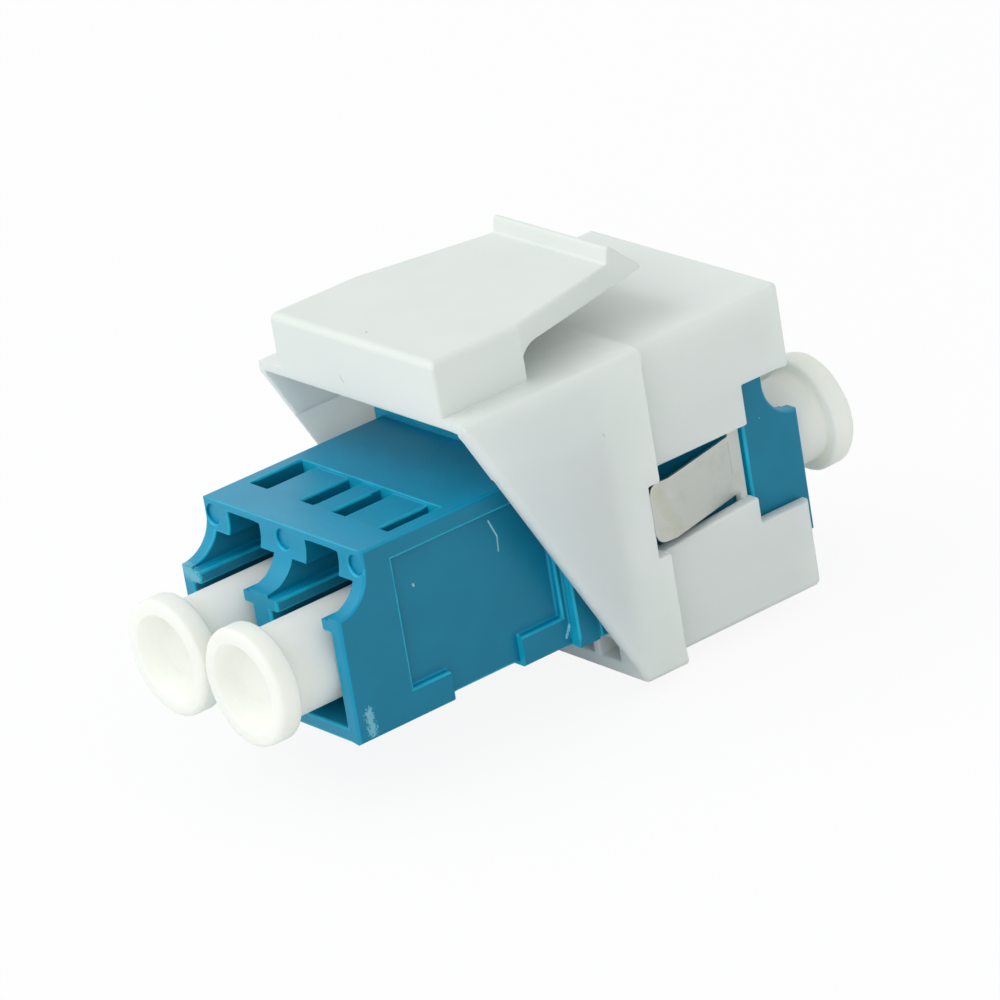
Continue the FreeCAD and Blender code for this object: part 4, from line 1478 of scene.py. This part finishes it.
@dataclass
class DustCap:
    """Soft white cap turned about the port's axis; lengths in millimetres.

    Each of the rim's waves is (waves round the rim, height, share of the phase). A cap that
    leans turns about tilt_pivot on the Y axis and slips along it by tilt_seat.
    """

    end: End
    side: str
    flange: float = 1.3
    tube_radius: float = 2.35
    bore_radius: float = 1.62
    web: float = 1.25
    dish_depth: float = 1.0
    dish_radius: float = 2.3
    floor_radius: float = 1.75
    bowl_rounding: float = 0.95
    lip_rounding: float = 0.117
    rim_rounding: float = 0.26
    back_rounding: float = 0.208
    neck_rounding: float = 0.182
    tube_rounding: float = 0.26
    bore_rounding: float = 0.104
    rim_inside: float = 1.2
    unevenness: float = 0.07
    waves: tuple[tuple[int, float, float], ...] = ((2, 1.0, 1.0), (5, 0.6, 2.1), (11, 0.4, 3.7))
    phase: float = 0.0
    rim_lean: float = 0.6
    tilt: float = 0.0
    tilt_pivot: float = -1.55
    tilt_seat: float = -0.19
    sides: int = 96
    steps: int = 5

    def profile(self, radius: float, length: float) -> list[tuple[float, float]]:
        """Half section from the middle of the dish to the middle of the web.

        Args:
            radius: Radius of the flange.
            length: Length of the cap.

        Returns:
            Radius and depth behind the outer face of each point.
        """
        corners = [
            Corner(0.0, self.dish_depth),
            Corner(self.floor_radius, self.dish_depth, self.bowl_rounding),
            Corner(self.dish_radius, 0.0, self.lip_rounding),
            Corner(radius, 0.0, self.rim_rounding),
            Corner(radius, self.flange, self.back_rounding),
            Corner(self.tube_radius, self.flange, self.neck_rounding),
            Corner(self.tube_radius, length, self.tube_rounding),
            Corner(self.bore_radius, length, self.bore_rounding),
            Corner(self.bore_radius, self.dish_depth + self.web),
            Corner(0.0, self.dish_depth + self.web),
        ]
        return rounded_outline(corners, self.steps)

    def waver(self, angle: float) -> float:
        """How far the soft, unevenly moulded rim stands in at an angle, in millimetres."""
        wave = sum(height * math.sin(count * angle + shift * self.phase)
                   for count, height, shift in self.waves)
        return self.unevenness * (1.0 + wave / 2.0) / 2.0

    def build(self, material: bpy.types.Material) -> bpy.types.Object:
        """Build and dress the cap.

        Args:
            material: The cap's plastic.

        Returns:
            The cap.
        """
        node = "cap_%s_%s" % (self.end.name.lower(), self.side)
        outward = self.end.value
        low, high = node_box(node)
        axis = (low + high) / 2
        face = low.y if self.end is End.BACK else high.y
        mesh = bmesh.new()
        rings = []
        for radius, depth in self.profile((high.x - low.x) / 2, high.y - low.y):
            middle = Vector((axis.x, face - outward * depth, axis.z))
            on_rim = depth <= self.flange and radius > self.rim_inside
            rings.append(add_ring(mesh, middle, radius, self.sides,
                                  self.waver if on_rim else None, -outward * self.rim_lean))
        for inner, outer in zip(rings, rings[1:]):
            join_rings(mesh, inner, outer)
        piece = finish_mesh(node + "_turned", mesh)
        self.lean(piece, axis.z)
        piece.data.materials.append(material)
        even_shading(piece)
        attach(piece, node + "_body")
        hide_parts(node)
        return piece

    def lean(self, piece: bpy.types.Object, height: float) -> None:
        """Tilt the cap up on its barrel by the play it has there.

        Args:
            piece: The cap.
            height: Height of the port's axis in millimetres.
        """
        if self.tilt == 0.0:
            return
        pivot = Vector((0.0, self.tilt_pivot, height)) * MM
        seat = Vector((0.0, self.tilt_seat, 0.0)) * MM
        turn = Matrix.Rotation(math.radians(self.tilt), 4, "X")
        piece.data.transform(Matrix.Translation(pivot + seat) @ turn @ Matrix.Translation(-pivot))


# --------------------------------------------------------------------------- studio


@dataclass
class Camera:
    """Camera at the object's three-quarter view; lengths in millimetres, angles in degrees."""

    aim: tuple[float, float, float] = (0.364, -3.963, 8.404)
    azimuth: float = 54.663
    elevation: float = 22.487
    roll: float = -9.616
    distance: float = 331.62
    lens: float = 242.486
    sensor: float = 36.0
    clip_metres: tuple[float, float] = (0.01, 10.0)

    def build(self) -> bpy.types.Object:
        """Make the camera and set it as the scene's.

        Returns:
            The camera.
        """
        data = bpy.data.cameras.new("studio_camera")
        data.lens = self.lens
        data.sensor_width = self.sensor
        data.clip_start, data.clip_end = self.clip_metres
        camera = new_object("studio_camera", data)
        turn, lift = math.radians(self.azimuth), math.radians(self.elevation)
        back = Vector((math.sin(turn) * math.cos(lift), -math.cos(turn) * math.cos(lift),
                       math.sin(lift)))
        camera.location = (Vector(self.aim) + back * self.distance) * MM
        upright = (-back).to_track_quat("-Z", "Y").to_matrix().to_4x4()
        rolled = upright @ Matrix.Rotation(math.radians(self.roll), 4, "Z")
        camera.rotation_euler = rolled.to_euler()
        bpy.context.scene.camera = camera
        return camera


@dataclass(frozen=True)
class SoftLamp:
    """Square soft lamp aimed at the adapter; lengths in metres, power in watts."""

    name: str
    place: tuple[float, float, float]
    size: float
    power: float

    def build(self) -> bpy.types.Object:
        """Make the lamp.

        Returns:
            The lamp.
        """
        data = bpy.data.lights.new(self.name, "AREA")
        data.shape = "SQUARE"
        data.size = self.size
        data.energy = self.power
        lamp = new_object(self.name, data)
        lamp.location = self.place
        lamp.rotation_euler = (-Vector(self.place)).to_track_quat("-Z", "Y").to_euler()
        return lamp


@dataclass
class Studio:
    """Pale level floor just under the carrier's foot, soft lamps and a white surround.

    Lengths are metres.
    """

    lamps: tuple[SoftLamp, ...] = (
        SoftLamp("key_softbox", (-0.2, -0.34, 0.47), 0.45, 1.31),
        SoftLamp("fill_softbox", (0.42, -0.48, 0.2), 0.5, 0.85))
    floor_half_size: float = 3.0
    floor_gap: float = 0.02 * MM
    floor_colour: tuple[float, float, float] = (0.92, 0.92, 0.92)
    floor_glow: float = 0.9
    ambient: float = 0.68
    ambient_colour: tuple[float, float, float] = (0.94, 1.0, 0.975)

    def build_floor(self) -> bpy.types.Object:
        """Floor whose colour is nearly the white of the surround and keeps shadows.

        Returns:
            The floor.
        """
        mesh = bmesh.new()
        bmesh.ops.create_grid(mesh, x_segments=1, y_segments=1, size=self.floor_half_size)
        data = bpy.data.meshes.new("floor")
        mesh.to_mesh(data)
        mesh.free()
        floor = new_object("floor", data)
        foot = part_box("keystone_carrier")[0].z
        floor.location = (0.0, 0.0, foot - self.floor_gap)
        material = bpy.data.materials.new("pale_floor")
        graph = clear_nodes(material)
        diffuse = graph.add("ShaderNodeBsdfDiffuse", {"Color": (*self.floor_colour, 1.0)})
        glow = graph.add("ShaderNodeEmission", {"Color": (1, 1, 1, 1), "Strength": 1.0})
        rays = graph.add("ShaderNodeLightPath")
        seen = graph.maths("MAXIMUM", rays.outputs["Is Camera Ray"],
                           rays.outputs["Is Transmission Ray"])
        share = graph.maths("MULTIPLY", seen, self.floor_glow)
        mixed = graph.add("ShaderNodeMixShader", {0: share, 1: diffuse.outputs[0],
                                                  2: glow.outputs[0]})
        graph.add("ShaderNodeOutputMaterial", {"Surface": mixed.outputs[0]})
        data.materials.append(material)
        floor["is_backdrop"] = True
        return floor

    def build_world(self) -> None:
        """White for the camera and reflections, a dimmer ambient light for the rest."""
        world = bpy.data.worlds.new("white_surround")
        bpy.context.scene.world = world
        graph = clear_nodes(world)
        ambient = graph.add("ShaderNodeBackground", {"Color": (*self.ambient_colour, 1.0),
                                                     "Strength": self.ambient})
        white = graph.add("ShaderNodeBackground", {"Color": (1, 1, 1, 1), "Strength": 1.0})
        rays = graph.add("ShaderNodeLightPath")
        seen = graph.maths("MAXIMUM", rays.outputs["Is Camera Ray"],
                           graph.maths("MAXIMUM", rays.outputs["Is Glossy Ray"],
                                       rays.outputs["Is Transmission Ray"]))
        mixed = graph.add("ShaderNodeMixShader", {0: seen, 1: ambient.outputs[0],
                                                  2: white.outputs[0]})
        graph.add("ShaderNodeOutputWorld", {"Surface": mixed.outputs[0]})

    def build(self) -> None:
        """Set up floor, surround, lamps and view transform."""
        self.build_floor()
        self.build_world()
        for lamp in self.lamps:
            lamp.build()
        bpy.context.scene.view_settings.view_transform = "Standard"


# --------------------------------------------------------------------------- the whole


@dataclass
class Adapter:
    """The whole adapter: carrier, latch, both halves, sleeves, clip and caps."""

    groups: Groups = field(default_factory=Groups)
    sides: tuple[str, str] = ("left", "right")
    front_tilt: float = 2.8
    side_phase: float = 1.3
    end_phase: float = 0.7

    def build(self) -> list[bpy.types.Object]:
        """Build every piece in order.

        Returns:
            All the pieces.
        """
        white = WHITE_MOULDING.build(self.groups)
        blue = BLUE_MOULDING.build(self.groups)
        cap_white = CAP_PLASTIC.build(self.groups)
        ceramic = CERAMIC.build(self.groups)
        steel = SatinSteel().build(self.groups)
        pieces = [CarrierMoulding().build(white), SnapLatch().build(white)]
        pieces += [AdapterHalf(end).build(blue) for end in End]
        pieces.append(SpringClip().build(steel))
        for order, side in enumerate(self.sides):
            pieces.append(SplitSleeve("sleeve_" + side).build(ceramic))
            for end in End:
                phase = self.side_phase * order + self.end_phase * end.value
                tilt = self.front_tilt if end is End.FRONT else 0.0
                pieces.append(DustCap(end, side, phase=phase, tilt=tilt).build(cap_white))
        return pieces


def main() -> None:
    """Load the frame, build the adapter and the studio, and report each piece."""
    logging.basicConfig(level=logging.INFO, format="%(name)s: %(message)s")
    FRAME.load()
    for piece in Adapter().build():
        LOG.info("%s: %d faces", piece.name, len(piece.data.polygons))
    Studio().build()
    Camera().build()


if __name__ == "__main__":
    main()
